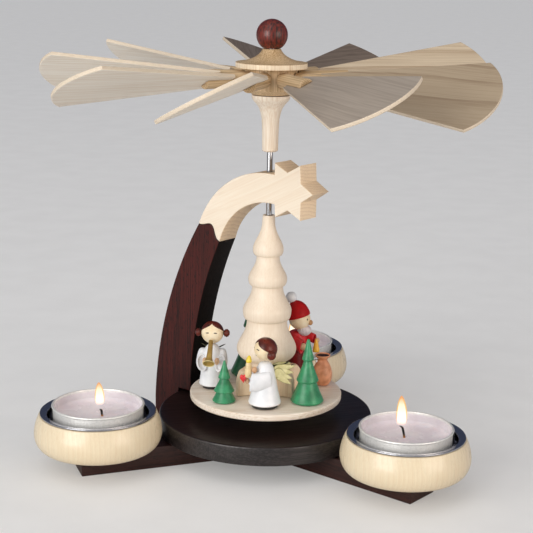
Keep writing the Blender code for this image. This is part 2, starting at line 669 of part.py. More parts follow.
def make_stem():
    """The flared ferrule between shaft and hub."""
    flare = STEM_TOP_RADIUS - STEM_RADIUS
    curve = ((0.054, 0.96), (0.109, 0.80), (0.176, 0.45), (0.26, 0.27), (0.377, 0.14), (0.586, 0.05))
    profile = [(BORE, STEM_TOP), (STEM_TOP_RADIUS, STEM_TOP)]
    profile += [(STEM_RADIUS + flare * reach, STEM_TOP - STEM_HEIGHT * drop) for drop, reach in curve]
    profile += [(STEM_RADIUS, STEM_BOTTOM + STEM_EDGE), (STEM_RADIUS - STEM_EDGE, STEM_BOTTOM),
                (BORE, STEM_BOTTOM)]
    turned("stem", profile, pale_wood(), 18, rotor, bored=True)


def vane_matrix(index):
    """A paddle's frame: its X axis is the peg's axis, and the paddle lies in X and Y."""
    turn, droop, pitch = VANE_SETS[index]
    angle = VANE_FIRST + 360 / VANE_COUNT * index + turn
    return (Matrix.Translation((0, 0, PEG_HEIGHT)) @ Matrix.Rotation(math.radians(angle), 4, "Z")
            @ Matrix.Rotation(math.radians(droop), 4, "Y")
            @ Matrix.Rotation(math.radians(VANE_PITCH + pitch), 4, "X"))


def make_hub():
    """The hub's body, drilled all round for the paddles' pegs."""
    profile = [(BORE, HUB_TOP), (HUB_RADIUS, HUB_TOP), (HUB_RADIUS, HUB_BOTTOM + HUB_CHAMFER),
               (STEM_TOP_RADIUS, HUB_BOTTOM), (BORE, HUB_BOTTOM)]
    hub = turned("hub", profile, pale_wood(), 27, rotor, bored=True)
    holes = bmesh.new()
    for index in range(VANE_COUNT):
        frame = vane_matrix(index)
        rod = rod_mesh("peg_hole", frame @ Vector((TENON_START - GAP, 0, 0)),
                       frame @ Vector((VANE_INNER, 0, 0)), TENON_RADIUS + GAP, 10)
        holes.from_mesh(rod)
        bpy.data.meshes.remove(rod)
    mesh = bpy.data.meshes.new("holes_for_pegs")
    holes.to_mesh(mesh)
    holes.free()
    shape_with(hub, mesh, "DIFFERENCE")


def make_cap():
    """The flared cap that covers the pegs, and the ball on top."""
    shoulder = CAP_BOTTOM + CAP_RIM
    flare = CAP_HEIGHT - CAP_RIM
    profile = [(BORE, CAP_TOP), (CAP_NECK, CAP_TOP)]
    for drop, reach in ((0.28, 0.16), (0.56, 0.34), (0.80, 0.52), (0.94, 0.70)):
        profile.append((CAP_NECK + (CAP_RADIUS - CAP_NECK) * reach, CAP_TOP - flare * drop))
    profile += [(CAP_RADIUS - CAP_EDGE, shoulder), (CAP_RADIUS, shoulder - CAP_EDGE),
                (CAP_RADIUS, CAP_BOTTOM), (BORE, CAP_BOTTOM)]
    turned("hub_cap", profile, pale_wood(), 24, rotor, bored=True)

    flat = math.degrees(math.asin(math.sqrt(BALL_RADIUS ** 2 - CAP_NECK ** 2) / BALL_RADIUS))
    profile = arc((0, BALL_CENTRE), BALL_RADIUS, 90, -flat, 8)
    profile[0] = (0, profile[0][1])
    profile += [(BORE, BALL_FLAT), (BORE, BALL_FLAT + BALL_BORE), (0, BALL_FLAT + BALL_BORE)]
    turned("ball", profile, dark_wood(), 18, rotor)


def make_paddles():
    """Nine pegs with a slit, and a fan-shaped paddle glued in each."""
    corner = (VANE_CORNER, VANE_CORNER_HALF)
    outline = [(VANE_INNER, -VANE_INNER_HALF)]
    outline += arc_through((corner[0], -corner[1]), (VANE_TIP, 0), corner, 12)
    outline += [(VANE_INNER, VANE_INNER_HALF)]
    vane_mesh = plate_mesh("vane", outline, VANE_THICKNESS)
    slit = VANE_THICKNESS / 2 + GAP
    start = HUB_RADIUS + PEG_OFF_HUB
    along = Matrix.Rotation(math.radians(90), 4, "Y")
    for index in range(VANE_COUNT):
        axis = axis_empty("vane_axis_%d" % (index + 1), vane_matrix(index), rotor)
        add_object("vane_%d" % (index + 1), vane_mesh, pale_wood(), axis)
        profile = [(0, PEG_END), (PEG_RADIUS, PEG_END), (PEG_RADIUS, start), (TENON_RADIUS, start),
                   (TENON_RADIUS, TENON_START), (0, TENON_START)]
        peg = turned("peg_%d" % (index + 1), profile, pale_wood(), 14, axis)
        peg.matrix_basis = along
        opening = block_mesh("slit_for_vane_%d" % (index + 1), (-slit, -PEG_RADIUS - MM, VANE_INNER - GAP),
                             (slit, PEG_RADIUS + MM, PEG_END + MM))
        shape_with(peg, opening, "DIFFERENCE")


def facing(spot, hem):
    """A figure's own frame: +X is where it looks, with its feet on the turning plate."""
    room, angle, look = spot
    stand = place(PLATE_RADIUS - room - hem, angle, STAND_ON_PLATE)
    return Matrix.Translation(stand) @ Matrix.Rotation(math.radians(look), 4, "Z")


def turned_figure(name, size, shares, surface, steps, frame):
    """A turned robe, coat or sack: its profile is given as shares of its radius and height."""
    radius, height = size
    figure = turned(name, [(radius * r, height * z) for r, z in shares], surface, steps, rotor)
    figure.matrix_basis = frame
    return figure


def head_with_buns(name, frame, height):
    """A round head with a bun over each ear."""
    head = add_object(name, ball_mesh(name, (0, 0, height), HEAD_RADIUS, 16), skin(), rotor)
    head.matrix_basis = frame
    for side in (-1, 1):
        bun = ball_mesh("%s_bun_%d" % (name, side), (0, side * BUN_PLACE, height), BUN_RADIUS, 8)
        shape_with(head, bun, "UNION")


def sleeve(robe, name, size, joints, thick):
    """An upper arm, a forearm and a hand, joined to a robe.

    The joints are shares of the robe's height: shoulder, elbow and hand.
    """
    shoulder, elbow, hand = (Vector(joint) * size[1] for joint in joints)
    shape_with(robe, rod_mesh(name + "_upper", shoulder, elbow, thick * 0.8, 8, thick), "UNION")
    shape_with(robe, ball_mesh(name + "_elbow", elbow, thick * 1.03, 8), "UNION")
    shape_with(robe, rod_mesh(name + "_fore", elbow, hand, thick, 8, thick * 0.6), "UNION")
    shape_with(robe, ball_mesh(name + "_hand", hand, thick * 0.68, 8), "UNION")


def make_trumpeter():
    """The angel that looks to the front and blows a trumpet."""
    frame = facing(TRUMPETER, TRUMPETER_ROBE[0])
    shares = ((0, 1), (0.53, 0.99), (0.72, 0.93), (0.79, 0.765), (0.85, 0.46), (1, 0.122), (0.89, 0.071),
              (0.68, 0.066), (0.68, 0), (0, 0))
    robe = turned_figure("trumpeter_robe", TRUMPETER_ROBE, shares, white_paint(), 18, frame)
    for side in (-1, 1):
        joints = ((0, side * 0.148, 0.878), (0.031, side * 0.25, 0.541), (0.347, side * 0.133, 0.694))
        sleeve(robe, "trumpeter_arm_%d" % side, TRUMPETER_ROBE, joints, SLEEVE_RADIUS)
    head_with_buns("trumpeter_head", frame, TRUMPETER_HEAD)
    shares = ((0, 1), (1, 1), (0.58, 0.88), (0.33, 0.71), (0.29, 0), (0, 0))
    gold = material("gold lacquer", (0.42, 0.29, 0.07), 0.35)
    dip = Matrix.Rotation(math.radians(TRUMPET_DIP), 4, "Y")
    mouth = frame @ Matrix.Translation((TRUMPET_REACH, 0, TRUMPETER_HEAD - TRUMPET_DROP)) @ dip
    turned_figure("trumpet", TRUMPET, shares, gold, 12, mouth)


def make_singer():
    """The angel that looks to the left, with a lit candle."""
    frame = facing(SINGER, SINGER_ROBE[0])
    shares = ((0, 1), (0.32, 0.985), (0.44, 0.91), (0.57, 0.71), (0.71, 0.48), (1, 0.121), (0.93, 0.076),
              (0.82, 0.066), (0.82, 0), (0, 0))
    robe = turned_figure("singer_robe", SINGER_ROBE, shares, white_paint(), 20, frame)
    for side in (-1, 1):
        joints = ((0, side * 0.121, 0.838), (0.172, side * 0.202, 0.586), (0.348, side * 0.086, 0.768))
        sleeve(robe, "singer_arm_%d" % side, SINGER_ROBE, joints, SLEEVE_RADIUS)
    head_with_buns("singer_head", frame, SINGER_HEAD)
    shares = ((0, 1), (0.35, 0.82), (0.475, 0.70), (0.5, 0.15), (1, 0.12), (0.6, 0.02), (0, 0))
    cream = material("cream lacquer", (0.8, 0.62, 0.4), 0.5)
    spot = frame @ Matrix.Translation((SINGER_CANDLE_REACH, 0, SINGER_CANDLE_FOOT))
    turned_figure("singer_candle", SINGER_CANDLE, shares, cream, 12, spot)


def make_singer_wings():
    """A pair of carved feather wings that lies against the singer's back.

    The tips are shares of the robe's height, measured back and up.
    """
    frame = facing(SINGER, SINGER_ROBE[0])
    tips = ((-0.182, 0.869), (-0.404, 0.899), (-0.626, 0.818), (-0.535, 0.737), (-0.606, 0.636),
            (-0.505, 0.606), (-0.576, 0.434), (-0.384, 0.566), (-0.232, 0.687))
    height = SINGER_ROBE[1]
    mesh = plate_mesh("singer_wings", [(x * height, z * height) for x, z in tips], WINGS_THICKNESS)
    mesh.transform(Matrix.Rotation(math.radians(90), 4, "X"))
    wings = add_object("singer_wings", mesh, material("yellow lacquer", (0.55, 0.5, 0.22), 0.5), rotor)
    wings.matrix_basis = frame


def make_gift_bringer():
    """The figure in the red coat, with a pompon on its cap."""
    frame = facing(GIFT_BRINGER, GIFT_BRINGER_COAT[0])
    shares = ((0, 1), (0.54, 0.987), (0.75, 0.926), (0.81, 0.786), (0.85, 0.48), (1, 0.096), (0.88, 0.057),
              (0.69, 0.052), (0.69, 0), (0, 0))
    red = material("red lacquer", (0.42, 0.01, 0.015), 0.4)
    coat = turned_figure("gift_bringer_coat", GIFT_BRINGER_COAT, shares, red, 20, frame)
    for side in (-1, 1):
        joints = ((0.017, side * 0.14, 0.908), (0.114, side * 0.214, 0.672), (0.306, side * 0.122, 0.681))
        sleeve(coat, "gift_bringer_arm_%d" % side, GIFT_BRINGER_COAT, joints, GIFT_BRINGER_SLEEVE)
    middle = Vector((HEAD_FORWARD, 0, GIFT_BRINGER_HEAD))
    mesh = ball_mesh("gift_bringer_head", middle, HEAD_RADIUS, 16)
    head = add_object("gift_bringer_head", mesh, skin(), rotor)
    head.matrix_basis = frame
    nose = middle + Vector((HEAD_RADIUS - NOSE_SUNK, 0, -NOSE_DROP))
    cap = Vector((0, 0, GIFT_BRINGER_HEAD + CAP_LIFT))
    pompon = Vector((-POMPON_BACK, 0, GIFT_BRINGER_HEAD + POMPON_LIFT))
    shape_with(head, ball_mesh("nose", nose, NOSE_RADIUS, 8), "UNION")
    shape_with(head, ball_mesh("cap_with_brim", cap, CAP_SIZE, 16, (1.04, 1.0, 1.05)), "UNION")
    shape_with(head, ball_mesh("pompon", pompon, POMPON_RADIUS, 12), "UNION")


def make_sack():
    """The tied sack beside the figure in the red coat."""
    room, angle = SACK
    shares = ((0, 1), (0.78, 1), (0.585, 0.886), (0.61, 0.814), (0.9, 0.614), (1, 0.386), (0.88, 0.143),
              (0.585, 0), (0, 0))
    spot = Matrix.Translation(place(PLATE_RADIUS - room - SACK_SIZE[0], angle, STAND_ON_PLATE))
    turned_figure("sack", SACK_SIZE, shares, material("brown stain", (0.38, 0.13, 0.06), 0.5), 18, spot)


clear_scene()
parts = new_collection(COLLECTION)
cutters = new_collection("cutters")
rotor = axis_empty("rotor_axis", Matrix.Identity(4))

make_legs()
make_base_disc()
make_pivot_cup()
make_arch_post()
make_arch_dowel()
make_comet_star()
make_shaft_bush()
for holder_side in LEG_SIDES:
    make_candle_holder(holder_side)
    make_tea_light(holder_side)
make_shaft()
make_turning_plate()
make_stump()
make_middle_tree()
for tree_side in TREES:
    make_small_tree(tree_side)
make_stem()
make_hub()
make_cap()
make_paddles()
make_trumpeter()
make_singer()
make_singer_wings()
make_gift_bringer()
make_sack()
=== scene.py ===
# %% [markdown]
# # A candle-driven Christmas pyramid
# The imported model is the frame: every solid is already in its place, in metres, with +Z up and the
# origin on the rotor's axis at table height. This script gives each solid its looks. Nearly all of them
# are replaced by finer surfaces of the same size, because a lathe leaves smooth round shapes and the
# solids have flat sides.

# %% Load the frame
import json
import math

import bmesh
import bpy
import numpy as np
from mathutils import Matrix, Vector
from mathutils.geometry import delaunay_2d_cdt


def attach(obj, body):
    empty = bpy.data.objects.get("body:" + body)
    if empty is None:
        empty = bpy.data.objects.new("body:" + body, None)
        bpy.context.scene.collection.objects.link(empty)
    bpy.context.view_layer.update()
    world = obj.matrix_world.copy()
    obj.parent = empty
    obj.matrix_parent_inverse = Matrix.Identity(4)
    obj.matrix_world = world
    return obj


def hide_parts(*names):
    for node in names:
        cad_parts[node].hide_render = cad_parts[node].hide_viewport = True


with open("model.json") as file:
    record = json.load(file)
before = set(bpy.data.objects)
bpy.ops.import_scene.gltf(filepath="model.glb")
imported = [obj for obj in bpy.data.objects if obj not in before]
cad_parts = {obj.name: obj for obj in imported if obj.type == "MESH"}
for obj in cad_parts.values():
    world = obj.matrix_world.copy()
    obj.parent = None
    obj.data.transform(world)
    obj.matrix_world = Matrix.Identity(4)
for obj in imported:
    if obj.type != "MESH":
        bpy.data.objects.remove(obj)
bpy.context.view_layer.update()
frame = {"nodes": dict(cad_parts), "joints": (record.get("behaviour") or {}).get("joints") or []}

MM = 0.001
print("solids:", len(frame["nodes"]))

# %% [markdown]
# ## From a grid of points to a mesh
# A turned tree, a bent sleeve and a scalloped foot all are surfaces with two parameters. Numpy works
# out the points as whole arrays, rows by columns, and one function joins neighbours with faces. Where a
# row shrinks to a point, as at a pole, its doubles are merged, so that each piece ends up as a closed
# skin.

# %% Grid to mesh
DOUBLE = 0.0002 * MM                     # corners closer than this are one
pieces = {}


def add_object(name, data):
    """A new object in the scene, at the origin."""
    made = bpy.data.objects.new(name, data)
    bpy.context.scene.collection.objects.link(made)
    return made


def closed(mesh):
    """Merges a mesh's doubled corners, then turns its faces outwards."""
    skin = bmesh.new()
    skin.from_mesh(mesh)
    bmesh.ops.remove_doubles(skin, verts=skin.verts, dist=DOUBLE)
    bmesh.ops.recalc_face_normals(skin, faces=skin.faces)
    skin.to_mesh(mesh)
    skin.free()
    return mesh


def keep(name, mesh, material, body, nodes=(), sharp=35.0):
    """Closes a mesh and files the piece: its body and the solids it stands for.

    Smooth faces that meet at more than sharp degrees get a crisp edge.
    """
    closed(mesh)
    smooth = np.empty(len(mesh.polygons), bool)
    mesh.polygons.foreach_get("use_smooth", smooth)
    mesh.set_sharp_from_angle(angle=math.radians(sharp))
    mesh.polygons.foreach_set("use_smooth", smooth)
    mesh.materials.append(material)
    piece = add_object(name, mesh)
    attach(piece, body)
    if nodes:
        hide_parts(*nodes)
    pieces[name] = piece
    return piece


def grid_faces(rows, columns, round_rows=False, start=0):
    """Quads between neighbours of a grid: the last column joins the first, and so do round rows."""
    index = start + np.arange(rows * columns).reshape(rows, columns)
    index = np.concatenate([index, index[:, :1]], axis=1)
    if round_rows:
        index = np.concatenate([index, index[:1]], axis=0)
    return np.stack([index[:-1, :-1], index[:-1, 1:], index[1:, 1:], index[1:, :-1]], axis=-1).reshape(-1, 4)


def skin_mesh(name, grids, round_rows=False, paint=None):
    """One mesh from one or more grids of points, each of rows x columns x 3, shaded smooth.

    Paint is a grid of shares from 0 to 1, the same for each grid, for materials that change along a piece.
    """
    points, faces, start = [], [], 0
    for grid in grids:
        rows, columns = grid.shape[:2]
        faces.append(grid_faces(rows, columns, round_rows, start))
        points.append(grid.reshape(-1, 3))
        start += rows * columns
    mesh = bpy.data.meshes.new(name)
    mesh.from_pydata(np.concatenate(points).tolist(), [], np.concatenate(faces).tolist())
    mesh.shade_smooth()
    if paint is not None:
        shares = np.tile(np.broadcast_to(paint, grids[0].shape[:2]).ravel(), len(grids))
        mesh.attributes.new("paint", "FLOAT", "POINT").data.foreach_set("value", shares.astype(np.float32))
    return mesh


def corners(mesh):
    """The places of a mesh's points, one row of x, y, z for each."""
    points = np.empty(len(mesh.vertices) * 3)
    mesh.vertices.foreach_get("co", points)
    return points.reshape(-1, 3)


def moved(points, matrix):
    """Points of any grid, carried by a 4x4 matrix."""
    m = np.array(matrix)
    return points @ m[:3, :3].T + m[:3, 3]


def all_round(count):
    """Evenly spaced angles all round, in radians."""
    return np.linspace(0, 2 * np.pi, count, endpoint=False)


def at(radius, degrees, height=0.0):
    """A matrix that stands something at a place round the rotor's axis."""
    angle = math.radians(degrees)
    return Matrix.Translation((radius * math.cos(angle), radius * math.sin(angle), height))


def turn_z(degrees):
    """A turn about the upright axis, counterclockwise from above."""
    return Matrix.Rotation(math.radians(degrees), 4, "Z")


print("helpers for grids are ready")

# %% [markdown]
# ## Turning
# A turned piece is a profile of (radius, height) carried round an axis. No wooden edge is perfectly
# sharp, and a slightly rounded corner is what catches the light, so each corner of a profile is
# softened first.

# %% Profiles and turned pieces


def soften(points, radius, steps=5, loop=False):
    """Rounds a profile's corners.

    Near a corner P the line becomes (1-t)^2 A + 2t(1-t) P + t^2 B, where A and B lie the radius back and
    ahead of P, or 0.45 of the way to its neighbour if that is nearer.
    """
    p = np.asarray(points, float)
    back = np.roll(p, 1, axis=0) - p
    ahead = np.roll(p, -1, axis=0) - p
    r = np.broadcast_to(np.asarray(radius, float), (len(p),))[:, None]

    def reach(way):
        length = np.linalg.norm(way, axis=1, keepdims=True)
        return way / np.maximum(length, 1e-12) * np.minimum(r, 0.45 * length)

    a, b = p + reach(back), p + reach(ahead)
    t = np.linspace(0, 1, steps)[None, :, None]
    curve = (1 - t) ** 2 * a[:, None] + 2 * t * (1 - t) * p[:, None] + t ** 2 * b[:, None]
    if loop:
        return curve.reshape(-1, p.shape[1])
    return np.concatenate([p[:1], curve[1:-1].reshape(-1, p.shape[1]), p[-1:]])


def tube(inner, outer, bottom, top):
    """The profile of a plain ring or disc: out along its top and back along its bottom."""
    return [(inner, top), (outer, top), (outer, bottom), (inner, bottom)]


def turned_grid(profile, steps=96):
    """Points of a turned surface: x = r cos a, y = r sin a, z = height, for angles a all round."""
    profile, angle = np.asarray(profile, float), all_round(steps)
    r, z = profile[:, :1], profile[:, 1:]
    return np.stack([r * np.cos(angle), r * np.sin(angle), z + 0 * angle], axis=-1)


def turn(name, profile, material, body, nodes=(), matrix=Matrix(), steps=96, bored=False, sharp=35.0):
    """A turned piece from its profile; a bored piece's profile is closed along its bore."""
    mesh = skin_mesh(name, [moved(turned_grid(profile, steps), matrix)], round_rows=bored)
    return keep(name, mesh, material, body, nodes, sharp)


def extent(node, matrix=Matrix()):
    """Lowest and highest corner of a solid as seen in a turned frame."""
    points = moved(corners(frame["nodes"][node].data), matrix.inverted())
    return points.min(axis=0), points.max(axis=0)


low, high = extent("base_disc")
print("the base disc lies from %.1f to %.1f mm" % (low[2] / MM, high[2] / MM))

# %% [markdown]
# ## Boards
# The comet, the bars and the paddles are sawn from boards. A board is an outline with a thickness; its
# edges are eased with sandpaper. The outline is carried from face to face and drawn in a little where
# the edge is round.

# %% Boards


def inward(outline):
    """For each point of a closed outline, the way to its inside along the bisector, longer at corners."""
    ahead = np.roll(outline, -1, axis=0) - outline
    back = outline - np.roll(outline, 1, axis=0)
    ahead = ahead / np.linalg.norm(ahead, axis=1, keepdims=True)
    back = back / np.linalg.norm(back, axis=1, keepdims=True)
    area = np.sum(outline[:, 0] * np.roll(outline[:, 1], -1) - np.roll(outline[:, 0], -1) * outline[:, 1])
    side = math.copysign(1.0, area)
    normal_a = np.stack([-ahead[:, 1], ahead[:, 0]], axis=1) * side
    normal_b = np.stack([-back[:, 1], back[:, 0]], axis=1) * side
    middle = normal_a + normal_b
    return middle / np.maximum(np.sum(middle * normal_a, axis=1, keepdims=True), 0.5)


def fill(flat):
    """Triangles inside a closed outline: a Delaunay triangulation that keeps the outline's edges."""
    points = [Vector(point) for point in (flat / MM).tolist()]
    made = delaunay_2d_cdt(points, [], [list(range(len(points)))], 1, 1e-6)
    source = [origin[0] for origin in made[3]]
    return [[source[corner] for corner in face] for face in made[2]]


def board_mesh(name, outline, thickness, edge, matrix):
    """A board between z = -thickness/2 and +thickness/2, with its edges rounded by a quarter circle."""
    outline = np.asarray(outline, float)
    turn_angle = np.linspace(0, np.pi / 2, 5)
    draw = edge * (1 - np.sin(turn_angle))
    rise = thickness / 2 - edge * (1 - np.cos(turn_angle))
    draw = np.concatenate([draw, draw[::-1]])
    rise = np.concatenate([rise, -rise[::-1]])
    flat = outline[None] + inward(outline)[None] * draw[:, None, None]
    height = np.broadcast_to(rise[:, None, None], flat.shape[:2] + (1,))
    grid = moved(np.concatenate([flat, height], axis=-1), matrix)
    rows, columns = grid.shape[:2]
    sides = grid_faces(rows, columns).tolist()
    face = fill(outline)
    far_face = [[corner + (rows - 1) * columns for corner in triangle] for triangle in face]
    mesh = bpy.data.meshes.new(name)
    mesh.from_pydata(grid.reshape(-1, 3).tolist(), [], sides + face + far_face)
    smooth = np.arange(len(mesh.polygons)) < len(sides)
    mesh.polygons.foreach_set("use_smooth", smooth)
    return mesh


def edge_material(piece, material, across, limit=0.7):
    """Gives a second material to the faces that look sideways, away from the direction across."""
    mesh = piece.data
    normals = np.empty(len(mesh.polygons) * 3)
    mesh.polygons.foreach_get("normal", normals)
    sideways = np.abs(normals.reshape(-1, 3) @ np.array(across)) < limit
    mesh.materials.append(material)
    mesh.polygons.foreach_set("material_index", sideways.astype(np.int32))


def arc_points(start, middle, end, count):
    """Points on the circle through three points: its centre is where the two bisectors meet."""
    a, b, c = (np.asarray(point, float) for point in (start, middle, end))
    rows = 2 * np.array([b - a, c - a])
    centre = np.linalg.solve(rows, [b @ b - a @ a, c @ c - a @ a])
    first = math.atan2(a[1] - centre[1], a[0] - centre[0])
    last = math.atan2(c[1] - centre[1], c[0] - centre[0])
    sweep = (last - first + math.pi) % (2 * math.pi) - math.pi
    angle = first + sweep * np.linspace(0, 1, count)
    radius = np.linalg.norm(a - centre)
    return centre + radius * np.stack([np.cos(angle), np.sin(angle)], axis=1)


def cut(piece, cutter_mesh):
    """Saws or drills a piece: the cutter is subtracted at once and thrown away."""
    cutter = add_object("cutter", cutter_mesh)
    change = piece.modifiers.new("cut", "BOOLEAN")
    change.object = cutter
    change.operation = "DIFFERENCE"
    change.solver = "EXACT"
    result = bpy.data.meshes.new_from_object(piece.evaluated_get(bpy.context.evaluated_depsgraph_get()))
    piece.modifiers.remove(change)
    piece.data = result
    bpy.data.objects.remove(cutter)


print("a softened square has", len(soften([(0, 0), (1, 0), (1, 1), (0, 1)], 0.1, loop=True)), "points")

# %% [markdown]
# ## Wood
# Every wooden piece carries its own grain. The attribute grain_at holds, for each point, its place in
# the plank in metres: X runs along the fibres, Y and Z across them, measured from the pith. From it each
# wood draws growth rings round the pith, bundles of fibres along X and short dark flecks, and the pieces
# differ because they were cut from different places. The materials are matched to the photo: pale lime
# wood that is nearly plain, veneers from pale to brown-grey for the paddles, waxed birch for the cups,
# and beech under a dark red-brown stain. Some woods also carry painted light and shade: the darker
# paddle veneers and paddle edges, the shaded tan of the hub and cap with their paler rim, the warmer
# stump as painted bounce light, and the bow's nearly black edges.

# %% Colours and nodes


def linear(code):
    """An sRGB hex colour as linear RGBA: ((c + 0.055) / 1.055)^2.4, or c / 12.92 for very dark channels."""
    c = np.array([int(code[i:i + 2], 16) for i in (1, 3, 5)]) / 255
    curve = np.where(c > 0.04045, ((c + 0.055) / 1.055) ** 2.4, c / 12.92)
    return (*curve.tolist(), 1.0)


def feed(tree, made, inputs):
    """Gives a node's sockets their inputs: a link for what comes out of a node, else a value."""
    for key, value in inputs.items():
        if isinstance(value, bpy.types.NodeSocket):
            tree.links.new(value, made.inputs[key])
        else:
            made.inputs[key].default_value = value
    return made


def node(tree, kind, inputs=None, **settings):
    """Adds one node: settings are its own properties, inputs are values or links for its sockets."""
    made = tree.nodes.new(kind)
    for key, value in settings.items():
        setattr(made, key, value)
    return feed(tree, made, inputs or {})


def new_material(name):
    """An empty Principled material and its parts: material, tree, shader."""
    material = bpy.data.materials.new(name)
    material.use_nodes = True
    tree = material.node_tree
    return material, tree, tree.nodes["Principled BSDF"]


FACTOR, A, B, RESULT = 0, 6, 7, 2       # sockets of a Mix node that mixes colours


def mix(tree, factor, first, second):
    """A colour between two others."""
    inputs = {FACTOR: factor, A: first, B: second}
    return node(tree, "ShaderNodeMix", inputs, data_type="RGBA").outputs[RESULT]


def spread(tree, value, low, high, to_low=0.0, to_high=1.0):
    """Stretches a value's range from low..high to to_low..to_high and keeps it inside."""
    inputs = {"Value": value, "From Min": low, "From Max": high, "To Min": to_low, "To Max": to_high}
    return node(tree, "ShaderNodeMapRange", inputs).outputs["Result"]


def noise(tree, vector, scale, detail, output="Fac", roughness=0.5):
    """Soft random clouds from 0 to 1, with so many of them to a unit of the vector."""
    inputs = {"Vector": vector, "Scale": scale, "Detail": detail, "Roughness": roughness}
    return node(tree, "ShaderNodeTexNoise", inputs).outputs[output]


def stretched(tree, vector, x, y, z):
    """A vector times x, y and z: what is drawn from it becomes that much narrower."""
    return node(tree, "ShaderNodeMapping", {"Vector": vector, "Scale": (x, y, z)}).outputs["Vector"]


def maths(tree, operation, first, second, **settings):
    """Arithmetic with two values."""
    return node(tree, "ShaderNodeMath", {0: first, 1: second}, operation=operation, **settings).outputs[0]


def vector_maths(tree, operation, first, second):
    """Arithmetic with two vectors."""
    return node(tree, "ShaderNodeVectorMath", {0: first, 1: second}, operation=operation).outputs[0]


def place_of(tree):
    """Where the point lies, in metres."""
    return node(tree, "ShaderNodeTexCoord").outputs["Object"]


def written(tree, name, output="Fac"):
    """What a mesh's attribute says at the point."""
    return node(tree, "ShaderNodeAttribute", attribute_name=name).outputs[output]


def bumps(tree, height, depth):
    """The normal of a surface with bumps, so many mm deep."""
    inputs = {"Height": height, "Strength": 1.0, "Distance": depth * MM}
    return node(tree, "ShaderNodeBump", inputs).outputs["Normal"]


def plank(piece, matrix, y, z, x=0.0):
    """Writes where each point lies in its plank: the place seen from matrix, whose X runs with the grain.

    The middle of matrix lies x, y and z mm from the start of the pith.
    """
    mesh = piece.data
    local = moved(corners(mesh), matrix.inverted()) + np.array([x, y, z]) * MM
    attribute = mesh.attributes.get("grain_at") or mesh.attributes.new("grain_at", "FLOAT_VECTOR", "POINT")
    attribute.data.foreach_set("vector", local.astype(np.float32).ravel())


print("middle grey #808080 is linear", round(linear("#808080")[0], 3))

# %% Wood materials
UPRIGHT = Matrix.Rotation(math.radians(-90), 4, "Y")     # its X axis points up: grain along a turned piece
RING_UNIT = 0.314                        # a ring texture of scale 1 repeats at this distance


def wood(name, light, dark, ring, ring_depth, fibre_depth, roughness, coat=0.0, fleck=0.0, relief=0.03,
         late_wood=3.0, fibre=0.5, shine=0.5):
    """Solid wood: rings every so many mm round the pith, fibres along X, and short dark flecks like rays.

    A higher late_wood makes the dark line of each ring thinner; fibre is the width of a bundle in mm.
    """
    material, tree, shader = new_material(name)
    mm = vector_maths(tree, "MULTIPLY", written(tree, "grain_at", "Vector"), (1 / MM,) * 3)
    # slow waviness of the stem, up to 6 mm over some 80 mm of length
    sway = noise(tree, stretched(tree, mm, 0.012, 0.05, 0.05), 1.0, 1.5, "Color")
    bent = vector_maths(tree, "ADD", mm, vector_maths(tree, "MULTIPLY", sway, (6.0,) * 3))
    rings = node(tree, "ShaderNodeTexWave",
                 {"Vector": bent, "Scale": RING_UNIT / ring, "Distortion": 0.6, "Detail": 1.0,
                  "Detail Scale": 0.6},
                 wave_type="RINGS", rings_direction="X", wave_profile="SAW").outputs["Fac"]
    # bundles of fibres run on for about 70 mm, flecks for 2 mm, and slow clouds for 100 mm
    fibres = noise(tree, stretched(tree, bent, 0.014, 1 / fibre, 1 / fibre), 1.0, 2.0, roughness=0.55)
    specks = noise(tree, stretched(tree, mm, 0.45, 3.2, 3.2), 1.0, 1.0)
    clouds = noise(tree, stretched(tree, mm, 0.01, 0.09, 0.09), 1.0, 2.0)
    dark_part = maths(tree, "MULTIPLY", maths(tree, "POWER", rings, late_wood), ring_depth)
    for more in (spread(tree, fibres, 0.30, 0.72, -fibre_depth / 2, fibre_depth),
                 spread(tree, clouds, 0.35, 0.70, 0.0, fibre_depth * 0.6)):
        dark_part = maths(tree, "ADD", dark_part, more)
    dark_part = maths(tree, "ADD", dark_part, spread(tree, specks, 0.60, 0.70, 0.0, fleck), use_clamp=True)
    feed(tree, shader, {
        "Base Color": mix(tree, dark_part, linear(light), linear(dark)),
        "Roughness": spread(tree, fibres, 0.3, 0.7, roughness - 0.06, roughness + 0.08),
        "Normal": bumps(tree, fibres, relief),
        "Coat Weight": coat, "Coat Roughness": 0.18, "Specular IOR Level": shine})
    return material


lime_wood = wood("turned lime wood, satin", "#F8E9D5", "#D0AB82", 1.6, 0.08, 0.14, 0.46, coat=0.10,
                 relief=0.01)
# the stump's warmer, lighter tone is painted warm bounce light
stump_wood_painted_glow = wood("sawn lime wood, warm with painted bounce light", "#FCE6C8", "#CE9C68", 1.6, 0.12, 0.22, 0.50, relief=0.01)
stem_wood = wood("turned lime wood, end of the grain", "#FDF1E0", "#CDA67A", 1.2, 0.14, 0.30, 0.50, fibre=0.6)
comet_wood = wood("sawn and sanded lime wood", "#FBEEDB", "#D6AE80", 7.0, 0.10, 0.13, 0.50, relief=0.01,
                  late_wood=2.0)
# darker tan as painted shade on the cap's slope, the hub and the pegs, over their real grain
shaded_hub_wood = wood("turned lime wood, tan with painted shade", "#DDC098", "#94703F", 0.9, 0.30, 0.50, 0.52, fibre=0.45)
plate_wood = wood("flat lime board, satin", "#FBF0E2", "#CFB08C", 2.4, 0.22, 0.34, 0.48, coat=0.10)
comet_edge = wood("sawn lime wood, edge", "#FAE2C2", "#B0845A", 1.3, 0.26, 0.16, 0.55, relief=0.01)
# the cap's upright rim is paler as painted light, where the front lamps fall on it
lit_hub_rim = wood("turned lime wood, rim with painted light", "#F8E8CE", "#C6A074", 0.9, 0.20, 0.30, 0.50, fibre=0.45)
